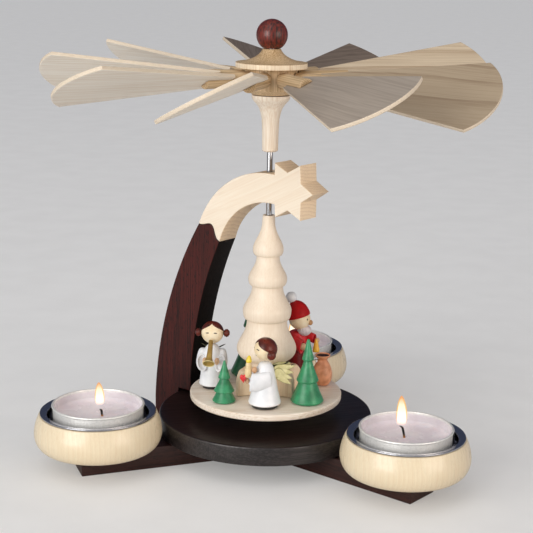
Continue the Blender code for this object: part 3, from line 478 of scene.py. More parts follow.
# the paddles' edges are drawn darker than their faces as painted shade
shaded_veneer_edge = wood("veneer edge, darker as painted shade", "#E4D5C0", "#C4AC8E", 1.0, 0.10, 0.20, 0.50, relief=0.01)
pale_veneer = wood("pale straight veneer", "#FFF8EC", "#CFB492", 2.2, 0.12, 0.28, 0.50, fibre=0.9)
lined_veneer = wood("veneer with a few brown lines", "#D2C0A6", "#85623F", 7.5, 0.55, 0.30, 0.50,
                    late_wood=7.0)
# paddle 1: its brown lines are grain, and its darker tone is painted shade
tan_veneer = wood("tan veneer with brown lines, darker as painted shade", "#B4A188", "#6E5134", 7.5, 0.42, 0.20, 0.50, late_wood=7.0)
# paddle 9 gets this grey, darker veneer as painted shade
shaded_grey_veneer = wood("veneer, grey as painted shade", "#B6A99B", "#7E6E62", 3.0, 0.10, 0.26, 0.50, fibre=0.9)
# paddles 3 and 4 at the back get this darker veneer as painted shade: they are the same wood as the rest
shaded_brown_veneer = wood("veneer, brown-grey as painted shade", "#8A7A6C", "#55463C", 3.0, 0.20, 0.40, 0.50, fibre=0.9)
# the cups' fibres are finer than a pixel, so they are drawn 0.9 mm wide to show at all
birch = wood("waxed birch", "#EEDEC0", "#C49C64", 1.9, 0.11, 0.12, 0.30, coat=0.35, relief=0.01, fibre=0.9,
             late_wood=1.4)
stained_beech = wood("beech, dark red-brown stain", "#4C1610", "#140605", 2.6, 0.22, 0.55, 0.44, coat=0.04,
                     fleck=0.9, fibre=0.7, shine=0.3)
ball_beech = wood("beech ball, red-brown stain", "#7A281C", "#2A0F0B", 1.6, 0.35, 0.75, 0.34, coat=0.12,
                  fibre=0.8)
black_beech = wood("beech, nearly black stain", "#200F0D", "#080404", 2.0, 0.30, 0.6, 0.38, coat=0.06,
                   fleck=0.3, shine=0.35)
rim_beech = wood("beech rim, black stain, open grain", "#352E2E", "#120D0D", 2.6, 0.40, 0.9, 0.36, coat=0.30,
                 fleck=0.5, relief=0.10)
# the bow's sawn edges are nearly black: painted shade, deepest on the inner edge
bow_edge_shade = wood("beech saw cut, nearly black with painted shade", "#120908", "#050303", 2.0, 0.20, 0.4, 0.60, shine=0.2)
leg_beech = wood("beech bar, brown-black stain", "#3C211D", "#140A09", 2.4, 0.25, 0.5, 0.42, coat=0.05,
                 fleck=0.6, shine=0.35)
print("woods:", len(bpy.data.materials))

# %% [markdown]
# ## Lacquer, metal, wax and flame
# The figures are turned wood under thin coloured lacquer: smooth, satin, with the faintest turning
# marks. The tea light's shell is drawn aluminium, bright but softly dented, and the cup's insert is a
# polished pressing. Wax lets light in, so it gets some subsurface scattering. A flame has no surface at
# all, so it is a thin glowing skin whose brightness and cover follow the height above the wick.

# %% Other materials


def lacquer(name, colour, shade, roughness=0.38, coat=0.3, lathe=0.012, shine=0.5):
    """Lacquer on turned wood: slightly uneven cover, and turning marks 0.5 mm apart and lathe mm deep."""
    material, tree, shader = new_material(name)
    place = place_of(tree)
    patch = noise(tree, place, 260.0, 3.0)
    marks = noise(tree, stretched(tree, place, 60.0, 60.0, 2000.0), 1.0, 2.0)
    feed(tree, shader, {
        "Base Color": mix(tree, spread(tree, patch, 0.35, 0.68), linear(colour), linear(shade)),
        "Roughness": spread(tree, patch, 0.3, 0.7, roughness - 0.05, roughness + 0.07),
        "Normal": bumps(tree, marks, lathe),
        "Coat Weight": coat, "Coat Roughness": 0.2, "Specular IOR Level": shine})
    return material


def metal(name, colour, roughness, dents=0.0, dent_size=3.0, metallic=1.0):
    """Bare metal: an even colour, small changes of polish, and soft dents a few mm wide."""
    material, tree, shader = new_material(name)
    place = place_of(tree)
    fine = noise(tree, place, 900.0, 3.0)
    wide = noise(tree, place, 1 / (dent_size * MM), 1.0)
    darker = (*(0.86 * channel for channel in linear(colour)[:3]), 1.0)
    feed(tree, shader, {
        "Base Color": mix(tree, spread(tree, fine, 0.35, 0.7), linear(colour), darker),
        "Roughness": spread(tree, fine, 0.3, 0.7, roughness * 0.8, roughness * 1.3),
        "Normal": bumps(tree, wide, dents), "Metallic": metallic})
    return material


white_lacquer = lacquer("white satin lacquer", "#F6F8FC", "#E8EBF0")
green_lacquer = lacquer("green satin lacquer", "#3C9A6A", "#20724A", coat=0.12)
shaded_green_lacquer = lacquer("green satin lacquer, darker as painted shade", "#2A6A45", "#1A4A30", roughness=0.36, coat=0.25)
red_lacquer = lacquer("bright red lacquer", "#E32A34", "#BE1824", roughness=0.33)
deep_red_lacquer = lacquer("deep red lacquer", "#BE0E14", "#9A0A10", roughness=0.48, coat=0.02, shine=0.2)
maroon_lacquer = lacquer("maroon lacquer", "#861019", "#5A0A11", roughness=0.4, coat=0.15)
heart_red_lacquer = lacquer("heart red lacquer", "#EE3A3C", "#D01F26", roughness=0.33)
skin_lacquer = lacquer("pale bare wood, matt", "#FDEFD2", "#F0D8AE", roughness=0.5, coat=0.05)
hand_lacquer = lacquer("skin-coloured lacquer", "#E4BE9A", "#C99C74", roughness=0.45, coat=0.1)
nose_lacquer = lacquer("tan wooden nose", "#D2A87E", "#B98A5C", roughness=0.45, coat=0.1)
hair_lacquer = lacquer("red-brown hair lacquer", "#6A2417", "#3A120C", roughness=0.32, coat=0.10, lathe=0.02,
                       shine=0.35)
eye_lacquer = lacquer("eye line, grey-brown", "#4A403A", "#2E2825", roughness=0.5, coat=0.0)
gold_lacquer = lacquer("ochre gold lacquer", "#B0914A", "#8A6A2C", roughness=0.35)
gold_rim_highlight = lacquer("gold lacquer, painted highlight on the rim", "#EBDDA4", "#D2BE78", roughness=0.3)
black_lacquer = lacquer("black lacquer", "#15161A", "#0B0C0F", roughness=0.35, coat=0.4)
cream_lacquer = lacquer("cream candle lacquer", "#EBD5A6", "#D9BC85", roughness=0.42)
amber_lacquer = lacquer("amber candle lacquer", "#FFCE48", "#F0AE2C", roughness=0.4)
yellow_lacquer = lacquer("yellow flame lacquer", "#F2D63A", "#E2BE22", roughness=0.4)
olive_lacquer = lacquer("olive edge stain", "#4A4722", "#2C2C16", roughness=0.5, coat=0.1)
beard_lacquer = lacquer("white beard lacquer", "#E6DEE0", "#CBBFC4", roughness=0.55, coat=0.05)
sack_stain = lacquer("reddish brown stain", "#F0AA82", "#C27C54", roughness=0.42, coat=0.12, lathe=0.03)
sack_mouth_shade = lacquer("dark brown, painted shade inside the sack's mouth", "#3A1A14", "#241010", roughness=0.5, coat=0.0)
# the bush's dark colour is painted shade inside its hole
bush_shade = lacquer("dark bush, painted shade of its hole", "#2A1F1C", "#1B1412", roughness=0.4, coat=0.0)
aluminium = metal("drawn aluminium", "#FCFBF8", 0.40, dents=0.05, dent_size=2.5, metallic=0.50)
plated = metal("polished nickel plate", "#C2C3CA", 0.12, dents=0.015, dent_size=6.0)
polished_steel = metal("polished steel", "#B9B9BC", 0.16)
turned_brass = metal("turned brass", "#C8A050", 0.25)
print("materials so far:", len(bpy.data.materials))


def feather_material():
    """Carved feathers under a thin yellow-green stain that gathers and turns olive along their edges."""
    material, tree, shader = new_material("yellow-green stained feathers")
    patch = noise(tree, place_of(tree), 500.0, 3.0)
    body = mix(tree, spread(tree, patch, 0.35, 0.68), linear("#E4DDAA"), linear("#CBC388"))
    edge = spread(tree, written(tree, "paint"), 0.35, 0.9)
    feed(tree, shader, {"Base Color": mix(tree, edge, body, linear("#8C8542")), "Roughness": 0.5})
    return material


def wax_material():
    """Paraffin wax: off-white with a lilac cast, dull where solid and glossy where it has just melted."""
    material, tree, shader = new_material("paraffin wax")
    cloud = noise(tree, place_of(tree), 140.0, 4.0)
    feed(tree, shader, {
        "Base Color": mix(tree, spread(tree, cloud, 0.38, 0.66), linear("#F8F0F4"), linear("#EADFE5")),
        "Roughness": spread(tree, cloud, 0.35, 0.65, 0.18, 0.36),
        "Normal": bumps(tree, cloud, 0.08),
        "Subsurface Weight": 0.25, "Subsurface Radius": (1.0, 0.8, 0.7), "Subsurface Scale": 1.5 * MM})
    return material


def wick_material():
    """A braided cotton wick, burnt black, still brown where it leaves the wax."""
    material, tree, shader = new_material("charred cotton wick")
    rise = spread(tree, written(tree, "paint"), 0.0, 0.35)
    braid = noise(tree, place_of(tree), 2500.0, 2.0)
    feed(tree, shader, {
        "Base Color": mix(tree, rise, linear("#B8793A"), linear("#0B0908")), "Roughness": 0.85,
        "Normal": bumps(tree, braid, 0.1)})
    return material


def flame_material(name, low, middle, top, strength, cover):
    """A candle flame's skin: nothing at its foot, its colour and brightness change up to the tip."""
    material, tree, shader = new_material(name)
    rise = written(tree, "paint")
    warm = mix(tree, spread(tree, rise, 0.10, 0.42), linear(low), linear(middle))
    feed(tree, shader, {
        "Emission Color": mix(tree, spread(tree, rise, 0.80, 1.0), warm, linear(top)),
        "Emission Strength": spread(tree, rise, 0.25, 0.95, strength, 1.1),
        "Alpha": spread(tree, rise, 0.02, 0.32, 0.0, cover),
        "Base Color": linear("#000000"), "Roughness": 1.0, "Specular IOR Level": 0.0})
    return material


feather_lacquer = feather_material()
paraffin_wax = wax_material()
charred_wick = wick_material()
flame_heart = flame_material("flame, white heart", "#FFD2BE", "#FFFDF2", "#FFE9C4", 2.6, 1.0)
flame_edge = flame_material("flame, orange edge", "#FFC9AC", "#FFC066", "#F79B48", 1.3, 0.5)
print("materials in all:", len(bpy.data.materials))

# %% [markdown]
# ## The stand
# Three square bars carry everything. They are sawn beech, stained nearly black, and the long edges are
# only just eased. The round base is turned from a board, so its grain runs level and the rim shows
# rough end grain on two sides. A small brass cup in its middle takes the point of the shaft.

# %% Legs and base disc
CLEAR = 0.3 * MM                         # room between pieces that fit into each other
LEG_EASE = 0.45 * MM
LEG_TURN = 80.0                          # degrees from +X to the back leg; the others follow every 120
leg_angles = {side: LEG_TURN + 120.0 * index for index, side in enumerate(("back", "left", "right"))}

for side, angle in leg_angles.items():
    own = turn_z(angle)
    low, high = extent("leg_" + side, own)
    outline = soften([low[:2], (high[0], low[1]), high[:2], (low[0], high[1])], 0.5 * MM, loop=True)
    level = own @ Matrix.Translation((0, 0, (low[2] + high[2]) / 2))
    mesh = board_mesh("bar_" + side, outline, high[2] - low[2], LEG_EASE, level)
    bar = keep("bar_" + side, mesh, leg_beech, "stand", ["leg_" + side])
    plank(bar, own, 31, 22, 30 + 0.1 * angle)

low, high = extent("base_disc")
BASE_RADIUS, BASE_TOP = high[0], high[2]
cup_low, cup_high = extent("pivot_cup")
pocket = cup_high[0] + CLEAR
pocket_floor = cup_low[2] - CLEAR
profile = [(0, pocket_floor), (pocket, pocket_floor), (pocket, BASE_TOP), (BASE_RADIUS, BASE_TOP),
           (BASE_RADIUS, low[2]), (0, low[2])]
rounding = np.array([0, 0.1, 0.3, 0.9, 0.5, 0]) * MM
disc = turn("base_round", soften(profile, rounding, 6), black_beech, "stand", ["base_disc"],
            steps=180)
plank(disc, turn_z(18), 9, 38)
edge_material(disc, rim_beech, (0, 0, 1), limit=0.5)
print("base disc: radius %.1f mm, top %.1f mm" % (BASE_RADIUS / MM, BASE_TOP / MM))

# %% [markdown]
# ## The comet arch
# The bow is a thick board sawn to a curve, stained dark on its face. At the top a wavy glued joint
# joins it to the pale wood of the comet's tail, and the tail runs into a six-pointed star. Both
# outlines are arcs in the plane of the board: s runs along the board from the rotor's axis, and heights
# are measured from the star's centre.

# %% The bow and the star
ARCH_TURN = -38.6                        # degrees from +X to the side that the star points to
BOARD = 11.4 * MM
FOOT_HEEL = 12.6 * MM
JOINT_OUTER = (-35.2 * MM, -20.5 * MM)
JOINT_INNER = (-23.1 * MM, -27.0 * MM)
JOINT_WAVE = 3.9 * MM
TAIL_OUTER_MID = (-17.3 * MM, 0.8 * MM)
TAIL_INNER_MID = (-10.4 * MM, -10.3 * MM)
TAIL_OUTER_RISE = 6.4 * MM
TAIL_INNER_DROP = 6.3 * MM
BOW_OUTER_MID = (-53.9 * MM, -61.2 * MM)
BOW_INNER_MID = (-36.6 * MM, -68.7 * MM)
STAR_FROM_AXIS = 14.1 * MM
STAR_HEIGHT = 118.7 * MM
STAR_RADIUS = 13.4 * MM
STAR_NOTCH = 0.602                       # radius of the notches as a share of the points' radius
STAR_TILT = 1.4
STAND_UP = turn_z(ARCH_TURN) @ Matrix.Rotation(math.radians(90), 4, "X")
foot_end = extent("arch_post", turn_z(ARCH_TURN))[0][0]


def from_star(point):
    """A point of the board whose height is given from the star's centre."""
    return (point[0], STAR_HEIGHT + point[1])


def joint_wave(lift):
    """The wavy joint: a straight line plus sin^2(pi t / 0.92), which swells towards the tail."""
    start, end = np.array(from_star(JOINT_OUTER)), np.array(from_star(JOINT_INNER))
    t = np.linspace(0, 1, 32)
    line = end - start
    normal = np.array([-line[1], line[0]]) / np.linalg.norm(line)
    swell = np.sin(np.pi * np.minimum(t / 0.92, 1)) ** 2
    return start + t[:, None] * line + (JOINT_WAVE * swell + lift)[:, None] * normal


def star_corner(index):
    """A corner of the star, counted from its right point every 30 degrees: points are even, notches odd."""
    radius = STAR_RADIUS * (1 if index % 2 == 0 else STAR_NOTCH)
    angle = math.radians(30 * index + STAR_TILT)
    return (STAR_FROM_AXIS + radius * math.cos(angle), STAR_HEIGHT + radius * math.sin(angle))


def on_star_edge(first, second, height):
    """Where the straight edge between two corners of the star reaches a height."""
    (ax, az), (bx, bz) = star_corner(first), star_corner(second)
    return (ax + (height - az) / (bz - az) * (bx - ax), height)


step_out = -BASE_RADIUS - CLEAR
step_up = BASE_TOP + 1.0 * MM
outer_side = arc_points(from_star(JOINT_OUTER), from_star(BOW_OUTER_MID), (foot_end, FOOT_HEEL), 60)
inner_side = arc_points((-39.7 * MM, step_up), from_star(BOW_INNER_MID), from_star(JOINT_INNER), 50)
foot = [(foot_end, 0.0), (step_out, 0.0), (step_out, step_up)]
bow_outline = np.concatenate([outer_side, foot, inner_side, joint_wave(0.0)[-2:0:-1]])
mesh = board_mesh("bow", bow_outline, BOARD, 0.45 * MM, STAND_UP)
bow = keep("bow", mesh, stained_beech, "stand", ["arch_post"])
across_board = (-math.sin(math.radians(ARCH_TURN)), math.cos(math.radians(ARCH_TURN)), 0)
# the sideways faces get the nearly black wood as painted shade
edge_material(bow, bow_edge_shade, across_board)
plank(bow, turn_z(ARCH_TURN) @ UPRIGHT, 34, 8, 200)

GLUE = 0.12 * MM
upper_end = on_star_edge(4, 5, STAR_HEIGHT + TAIL_OUTER_RISE)
lower_end = on_star_edge(-5, -4, STAR_HEIGHT - TAIL_INNER_DROP)
wave = joint_wave(GLUE)
star_points = np.array([star_corner(index) for index in range(4, -5, -1)])
tail_outer = arc_points(wave[0], from_star(TAIL_OUTER_MID), upper_end, 40)
tail_inner = arc_points(lower_end, from_star(TAIL_INNER_MID), wave[-1], 36)
comet_outline = np.concatenate([tail_outer, star_points, tail_inner, wave[-2:0:-1]])
mesh = board_mesh("comet", comet_outline, BOARD, 0.4 * MM, STAND_UP)
comet = keep("comet", mesh, comet_wood, "stand", ["comet_star"])
print("bow outline:", len(bow_outline), "points; comet outline:", len(comet_outline), "points")

# %% [markdown]
# The bush is pressed into a hole drilled down through the tail. The hole is drilled here with a Boolean
# that is applied at once, because a drilled hole is exactly what it is.

# %% Drill the tail
BORE = 1.55 * MM                         # for the shaft
DRILL_REACH = 20 * MM                    # the drill goes on past the tail, above and below
low, high = extent("shaft_bush")
hole = tube(0, high[0] + 0.05 * MM, STAR_HEIGHT - DRILL_REACH, STAR_HEIGHT + DRILL_REACH)
cut(comet, closed(skin_mesh("bush_hole", [turned_grid(hole, 48)])))
edge_material(comet, comet_edge, across_board)
plank(comet, turn_z(ARCH_TURN) @ Matrix.Rotation(math.radians(-25), 4, "Y"), 15, 29)
sleeve = soften(tube(BORE, high[0], low[2], high[2]), 0.2 * MM, loop=True)
# the bush is coloured dark as painted shade inside the hole
turn("bush_sleeve", sleeve, bush_shade, "stand", ["shaft_bush"], steps=48, bored=True)
print("comet faces:", len(comet.data.polygons))

# %% [markdown]
# ## Candle cups, inserts and tea lights
# The cups are turned from birch with the grain upright, so fine straight lines run down their sides. A
# polished metal insert lies in each, with a flat flange over the wood, and the tea light stands in the
# insert. Its shell has a rolled rim, and the wax has sunk a few millimetres, with a small meniscus
# where it touched the shell.

# %% Candle cups and inserts
tea_low, tea_high = extent("tea_shell_left")
TEA_TOP, TEA_BOTTOM = tea_high[2], tea_low[2]
TEA_RADIUS = (tea_high[0] - tea_low[0]) / 2
WAX_LEVEL = TEA_TOP - 5.0 * MM
CANDLE_RADIUS = 75.3 * MM
INSERT_RADIUS = 21.3 * MM
INSERT_WALL = 0.6 * MM
CUP_FOOT, CUP_MOUTH = 22.3 * MM, 24.7 * MM               # radii
CUP_WIDEST = 7.0 * MM                    # height of the widest line
CUP_FLOOR = 1.9 * MM
FLANGE_DISH = 0.30 * MM                  # the flange rises a little to its rounded edge, as pressed ones do


def cup_profile(low, high):
    """The cup: a flat foot, a quarter-ellipse belly up to the widest line, and a rounded shoulder."""
    bulge, top = high[0], high[2]
    angle = np.linspace(np.pi / 2, 0, 14)
    radius, height = CUP_FOOT + (bulge - CUP_FOOT) * np.cos(angle), CUP_WIDEST * (1 - np.sin(angle))
    belly = np.stack([radius, low[2] + height], axis=1)
    shoulder = arc_points(belly[-1], (bulge - 0.6 * MM, top - 4.3 * MM), (CUP_MOUTH, top), 16)
    pocket, floor = INSERT_RADIUS + INSERT_WALL + CLEAR, low[2] + CUP_FLOOR
    inside = [(pocket, top), (pocket, floor), (0, floor)]
    return np.concatenate([[(0, low[2])], belly, shoulder[1:], inside])


def insert_profile(low, high):
    """The insert: its floor, wall and flange seen from inside, then back along the under side."""
    flange, top, outside = high[0], high[2], INSERT_RADIUS + INSERT_WALL
    floor, under = low[2] + INSERT_WALL, top - INSERT_WALL
    return [(0, floor), (INSERT_RADIUS, floor), (INSERT_RADIUS, top - 0.9 * MM),
            (INSERT_RADIUS + 0.7 * MM, top - FLANGE_DISH), (flange, top), (flange, under),
            (outside, under), (outside, low[2]), (0, low[2])]


INSERT_ROUNDING = np.array([0, 0.28, 0.28, 0.28, 0.45, 0.05, 0.1, 0.1, 0]) * MM
for side, angle in leg_angles.items():
    spot = at(CANDLE_RADIUS, angle)
    profile = soften(cup_profile(*extent("candle_cup_" + side, spot)), 0.25 * MM, 3)
    cup = turn("cup_" + side, profile, birch, "stand", ["candle_cup_" + side], spot,
               steps=128)
    plank(cup, Matrix.Translation(spot.translation) @ UPRIGHT, 7, 66)
    profile = soften(insert_profile(*extent("candle_insert_" + side, spot)), INSERT_ROUNDING)
    turn("insert_" + side, profile, plated, "stand", ["candle_insert_" + side], spot,
         steps=128)
print("cups, inserts:", len(leg_angles))

# %% Tea lights
SHELL_WALL = 0.35 * MM
SHELL_OUTER = TEA_RADIUS - 0.5 * MM
SHELL_INNER = SHELL_OUTER - SHELL_WALL
RIM_BEAD = 0.5 * MM
FLUTES = 72                              # pressing folds round a drawn shell
FLUTE_DEPTH = 0.006                      # as a share of the radius
WAX_FILM = 0.12 * MM
MENISCUS, MENISCUS_WIDTH = 1.1 * MM, 0.9 * MM
WICK_RISE, WICK_RISE_WIDTH = 0.35 * MM, 1.2 * MM
WICK_RADIUS = 0.48 * MM
WICK_TIP = 0.93                          # share of the wick's length where its top begins to round


def shell_grid():
    """The shell: a closed profile carried round, its side waved by the folds, deeper half-way up."""
    bead = np.linspace(np.pi * 0.9, -np.pi * 0.75, 14)
    circle = RIM_BEAD * np.stack([np.cos(bead), np.sin(bead)], axis=1)
    rim = circle + (TEA_RADIUS - RIM_BEAD, TEA_TOP - RIM_BEAD)
    floor = TEA_BOTTOM + SHELL_WALL
    inside = soften([(0, floor), (SHELL_INNER, floor), (SHELL_INNER, TEA_TOP - 2 * RIM_BEAD)],
                    [0, 0.6 * MM, 0], 6)
    height = np.linspace(TEA_TOP - 2.2 * RIM_BEAD, TEA_BOTTOM + 0.8 * MM, 12)
    side = np.stack([np.full(12, SHELL_OUTER), height], axis=1)
    foot = [(SHELL_OUTER - 0.25 * MM, TEA_BOTTOM + 0.2 * MM), (SHELL_OUTER - 0.8 * MM, TEA_BOTTOM),
            (0, TEA_BOTTOM)]
    profile = np.concatenate([inside, rim, side, foot])
    grid = turned_grid(profile, FLUTES * 4)
    on_side = profile[:, 0] > SHELL_OUTER - 0.5 * MM
    share = np.clip((TEA_TOP - 1.5 * MM - profile[:, 1]) / (2 * MM), 0, 1) * on_side
    fold = 0.5 + 0.5 * np.cos(FLUTES * all_round(FLUTES * 4))
    grid[..., :2] *= (1 - FLUTE_DEPTH * share[:, None] * fold)[..., None]
    return grid


def wax_profile(edge):
    """Wax with a meniscus at the shell and a slight rise round the wick, as exp(-distance / width) terms.

    A thin film clings to the shell where the wax stood before it burnt down.
    """
    shore = edge - WAX_FILM
    r = np.linspace(0, shore, 40)
    z = WAX_LEVEL + MENISCUS * np.exp((r - shore) / MENISCUS_WIDTH) + WICK_RISE * np.exp(-r / WICK_RISE_WIDTH)
    wall = [(shore, TEA_TOP - 1.9 * MM), (edge - WAX_FILM / 2, TEA_TOP - 1.2 * MM),
            (edge, TEA_TOP - 1.1 * MM)]
    floor = [(edge, TEA_BOTTOM + 0.8 * MM), (0, TEA_BOTTOM + 0.8 * MM)]
    return np.concatenate([np.stack([r, z], axis=1), wall, floor])


def upright_grid(x, radius, z, angle):
    """Circles carried up a line that bends in x: x + r cos a, r sin a and z."""
    return np.stack([x[:, None] + radius * np.cos(angle), radius * np.sin(angle), z[:, None] + 0 * angle],
                    axis=-1)


def wick_grid(height, lean, hook):
    """A wick, round at its top, along a line that leans and hooks over: x = lean t + hook t^3."""
    t = np.linspace(0, 1, 20)
    z = WAX_LEVEL - 0.5 * MM + (height + 0.5 * MM) * np.sin(t * np.pi / 2)
    past = np.clip((t - WICK_TIP) / (1 - WICK_TIP), 0, 1)
    radius = WICK_RADIUS * np.sqrt(1 - past ** 2)
    radius[0] = 0
    angle = all_round(16)
    braid = 1 + 0.10 * np.cos(3 * angle + 9 * t[:, None])
    return upright_grid((lean * t + hook * t ** 3) * MM, radius[:, None] * braid, z, angle)


def flame_grid(low, height, width, lean):
    """A flame: turned round a line, radius = width (1-t)^0.62 (t + 0.10)^0.32, scaled to its widest."""
    t = np.linspace(0, 1, 48)
    shape = (1 - t) ** 0.62 * (t + 0.10) ** 0.32
    shape = shape / shape.max() * width / 2
    shape[0] = 0
    return upright_grid(lean * t ** 2, shape[:, None], low + height * t, all_round(40))


# in mm: the wick's place in the wax, then its height, lean and hook; the flame's place, then its foot above
# the wax, its height, width and lean
WICKS = {
    "back": ((0.0, 0.0), (4.2, 0.4, 0.6), 0.0, (5.2, 11.0, 4.6, 0.2)),
    "left": ((2.0, -2.2), (3.0, -0.5, -0.3), 0.7, (4.3, 9.9, 4.2, -0.3)),
    "right": ((-0.6, 0.0), (5.2, -1.2, -1.1), -2.1, (5.6, 12.6, 4.6, -0.4)),
}
for side, (wick_at, (height, lean, hook), flame_at, flame) in WICKS.items():
    body, spot = "tea_light_" + side, at(CANDLE_RADIUS, leg_angles[side])
    shell = skin_mesh("shell_" + side, [moved(shell_grid(), spot)])
    keep("shell_" + side, shell, aluminium, body, ["tea_shell_" + side], sharp=50)
    turn("wax_" + side, wax_profile(SHELL_INNER), paraffin_wax, body, ["tea_wax_" + side],
         spot)
    grid = wick_grid(height * MM, lean, hook)
    rise = np.clip((grid[:, :1, 2] - WAX_LEVEL) / (height * MM), 0, 1)
    grid = moved(grid, spot @ Matrix.Translation(Vector((*wick_at, 0)) * MM))
    keep("wick_" + side, skin_mesh("wick_" + side, [grid], paint=rise), charred_wick, body)
    foot, height, width, lean = (value * MM for value in flame)
    above = Matrix.Translation((spot.translation.x + flame_at * MM, spot.translation.y, 0))
    for name, material, share in (("flame_edge_", flame_edge, 1.0), ("flame_heart_", flame_heart, 0.8)):
        grid = moved(flame_grid(WAX_LEVEL + foot, height * (0.5 + share / 2), width * share, lean), above)
        rise = np.linspace(0, 1, len(grid))[:, None]
        keep(name + side, skin_mesh(name + side, [grid], paint=rise), material, body)
print("tea lights: rim at %.1f mm, wax at %.1f mm" % (TEA_TOP / MM, WAX_LEVEL / MM))

# %% [markdown]
# ## The rotor
# Everything on the shaft is turned from pale lime wood. The plate is a flat board, so its grain runs
# across. The tree was turned in one piece: each tier swells like a bell and is undercut where the next
# one starts. Its foot, the stump, has deep scallops, so that the figures can stand close to the middle.

# %% Shaft, plate and stump
SHAFT_RADIUS = 1.25 * MM
low, high = extent("shaft")
profile = soften([(0, high[2]), (SHAFT_RADIUS, high[2]), (SHAFT_RADIUS, low[2] + SHAFT_RADIUS), (0, low[2])],
                 np.array([0, 0.15, 0.1, 0]) * MM, 4)
turn("spindle", profile, polished_steel, "rotor", ["shaft"], steps=48)

low, high = extent("turning_plate")
profile = soften(tube(BORE, high[0], low[2], high[2]), np.array([0.2, 0.8, 0.8, 0.2]) * MM, 7, loop=True)
plate = turn("plate", profile, plate_wood, "rotor", ["turning_plate"], steps=180,
             bored=True)
plank(plate, turn_z(8), 21, 30)
print("plate top at %.1f mm" % (high[2] / MM))

TRUNK_RADIUS = 6.7 * MM
STUMP_RADIUS = 16.1 * MM
STUMP_SHOULDER = 3.0 * MM
SCALLOPS = (                             # degrees from +X, wood left round the trunk, radius of the cut
    (267.5, 1.8 * MM, 29.5 * MM), (168.5, 1.8 * MM, 29.5 * MM), (47.0, 2.3 * MM, 10.8 * MM),
    (345.5, 4.3 * MM, 7.8 * MM), (110.0, 6.3 * MM, 11.5 * MM),
)


def scallop_limit(angle):
    """How far the wood reaches at each angle: to the near side of the cut circles,
    D cos b - sqrt(R^2 - D^2 sin^2 b), where b is the angle to the circle's centre at distance D."""
    reach = np.full_like(angle, 1.0)
    for degrees, wall, radius in SCALLOPS:
        distance = TRUNK_RADIUS + wall + radius
        b = angle - math.radians(degrees)
        under = radius ** 2 - (distance * np.sin(b)) ** 2
        near = distance * np.cos(b) - np.sqrt(np.maximum(under, 0))
        reach = np.where((under > 0) & (np.cos(b) > 0), np.minimum(reach, near), reach)
    return reach


low, high = extent("stump")
top, bore = high[2], TRUNK_RADIUS + CLEAR
profile = soften([(bore, top), (STUMP_RADIUS - 2.2 * MM, top),
                  (STUMP_RADIUS - 0.3 * MM, top - STUMP_SHOULDER), (STUMP_RADIUS, low[2]), (bore, low[2])],
                 np.array([0.1, 1.6, 1.5, 0.3, 0.1]) * MM, 8, loop=True)
STUMP_STEPS = 960
radius = profile[:, :1]
share = np.maximum(np.minimum(scallop_limit(all_round(STUMP_STEPS)) / radius, 1.0), bore / radius)
grid = turned_grid(profile, STUMP_STEPS)
grid[..., :2] *= share[..., None]
stump = keep("scalloped_foot", skin_mesh("scalloped_foot", [grid], round_rows=True), stump_wood_painted_glow, "rotor",
             ["stump"], sharp=40)
plank(stump, UPRIGHT, 17, 5)
print("scallops in the stump:", len(SCALLOPS))

# %% The middle tree
STAND_ON_PLATE = extent("middle_tree")[0][2]
# of each tier, in mm above the plate: top, radius of the neck, height of the widest line, its radius, bottom
TIERS = (
    (76.4, 2.75, 63.5, 6.65, 60.9), (60.8, 5.0, 50.6, 8.45, 47.6), (47.5, 6.75, 36.4, 10.6, 32.4),
    (32.3, 8.8, 19.2, 13.05, 14.1),
)


def tier_profile(top, neck, widest, radius, bottom, below):
    """A bell: radius = neck + (widest radius - neck) (3u^2 - 2u^3) with u = t^1.3 down to the widest line,
    then nearly a quarter ellipse that rounds under, and a small undercut up to the next tier's neck."""
    t = np.linspace(0, 1, 26)
    u = t ** 1.3
    swell = np.stack([neck + (radius - neck) * (3 * u ** 2 - 2 * u ** 3), top + (widest - top) * t], axis=1)
    angle = np.linspace(0, np.pi / 2, 14)[1:]
    under = np.stack([below + 0.25 + (radius - below - 0.25) * np.cos(angle) ** 0.8,
                      widest - (widest - bottom) * np.sin(angle)], axis=1)
    undercut = np.array([(below - 0.25, bottom + 0.25)])
    return np.concatenate([swell, under, undercut])


low, high = extent("middle_tree")
top = (high[2] - STAND_ON_PLATE) / MM
TOP_RADIUS = 2.55
necks = [tier[1] for tier in TIERS[1:]] + [TRUNK_RADIUS / MM]
tiers = [tier_profile(*tier, below) for tier, below in zip(TIERS, necks)]
trunk = [(TRUNK_RADIUS / MM, TIERS[-1][4]), (TRUNK_RADIUS / MM, 0.0), (BORE / MM, 0.0)]
profile = np.concatenate([[(BORE / MM, top), (TOP_RADIUS, top)], *tiers, trunk]) * MM
profile[:, 1] += STAND_ON_PLATE
tree = turn("tall_tree", profile, lime_wood, "rotor", ["middle_tree"], steps=160,
            bored=True, sharp=32)
plank(tree, turn_z(40) @ UPRIGHT, 23, 12)
print("tree: %d profile points, top at %.1f mm" % (len(profile), high[2] / MM))

# %% [markdown]
# ## Stem, hub, cap and ball
# The stem flares into the hub like a trumpet. The hub is drilled all round for nine pegs, and a flared
# cap lies over them. The cap and the ball hide the shaft's end. The hub's holes are drilled along the
# pegs' own axes, which the frame gives with its joints.

# %% Stem, cap and ball
STEM_RADIUS, STEM_WIDE = 3.3 * MM, 8.1 * MM
low, high = extent("stem")
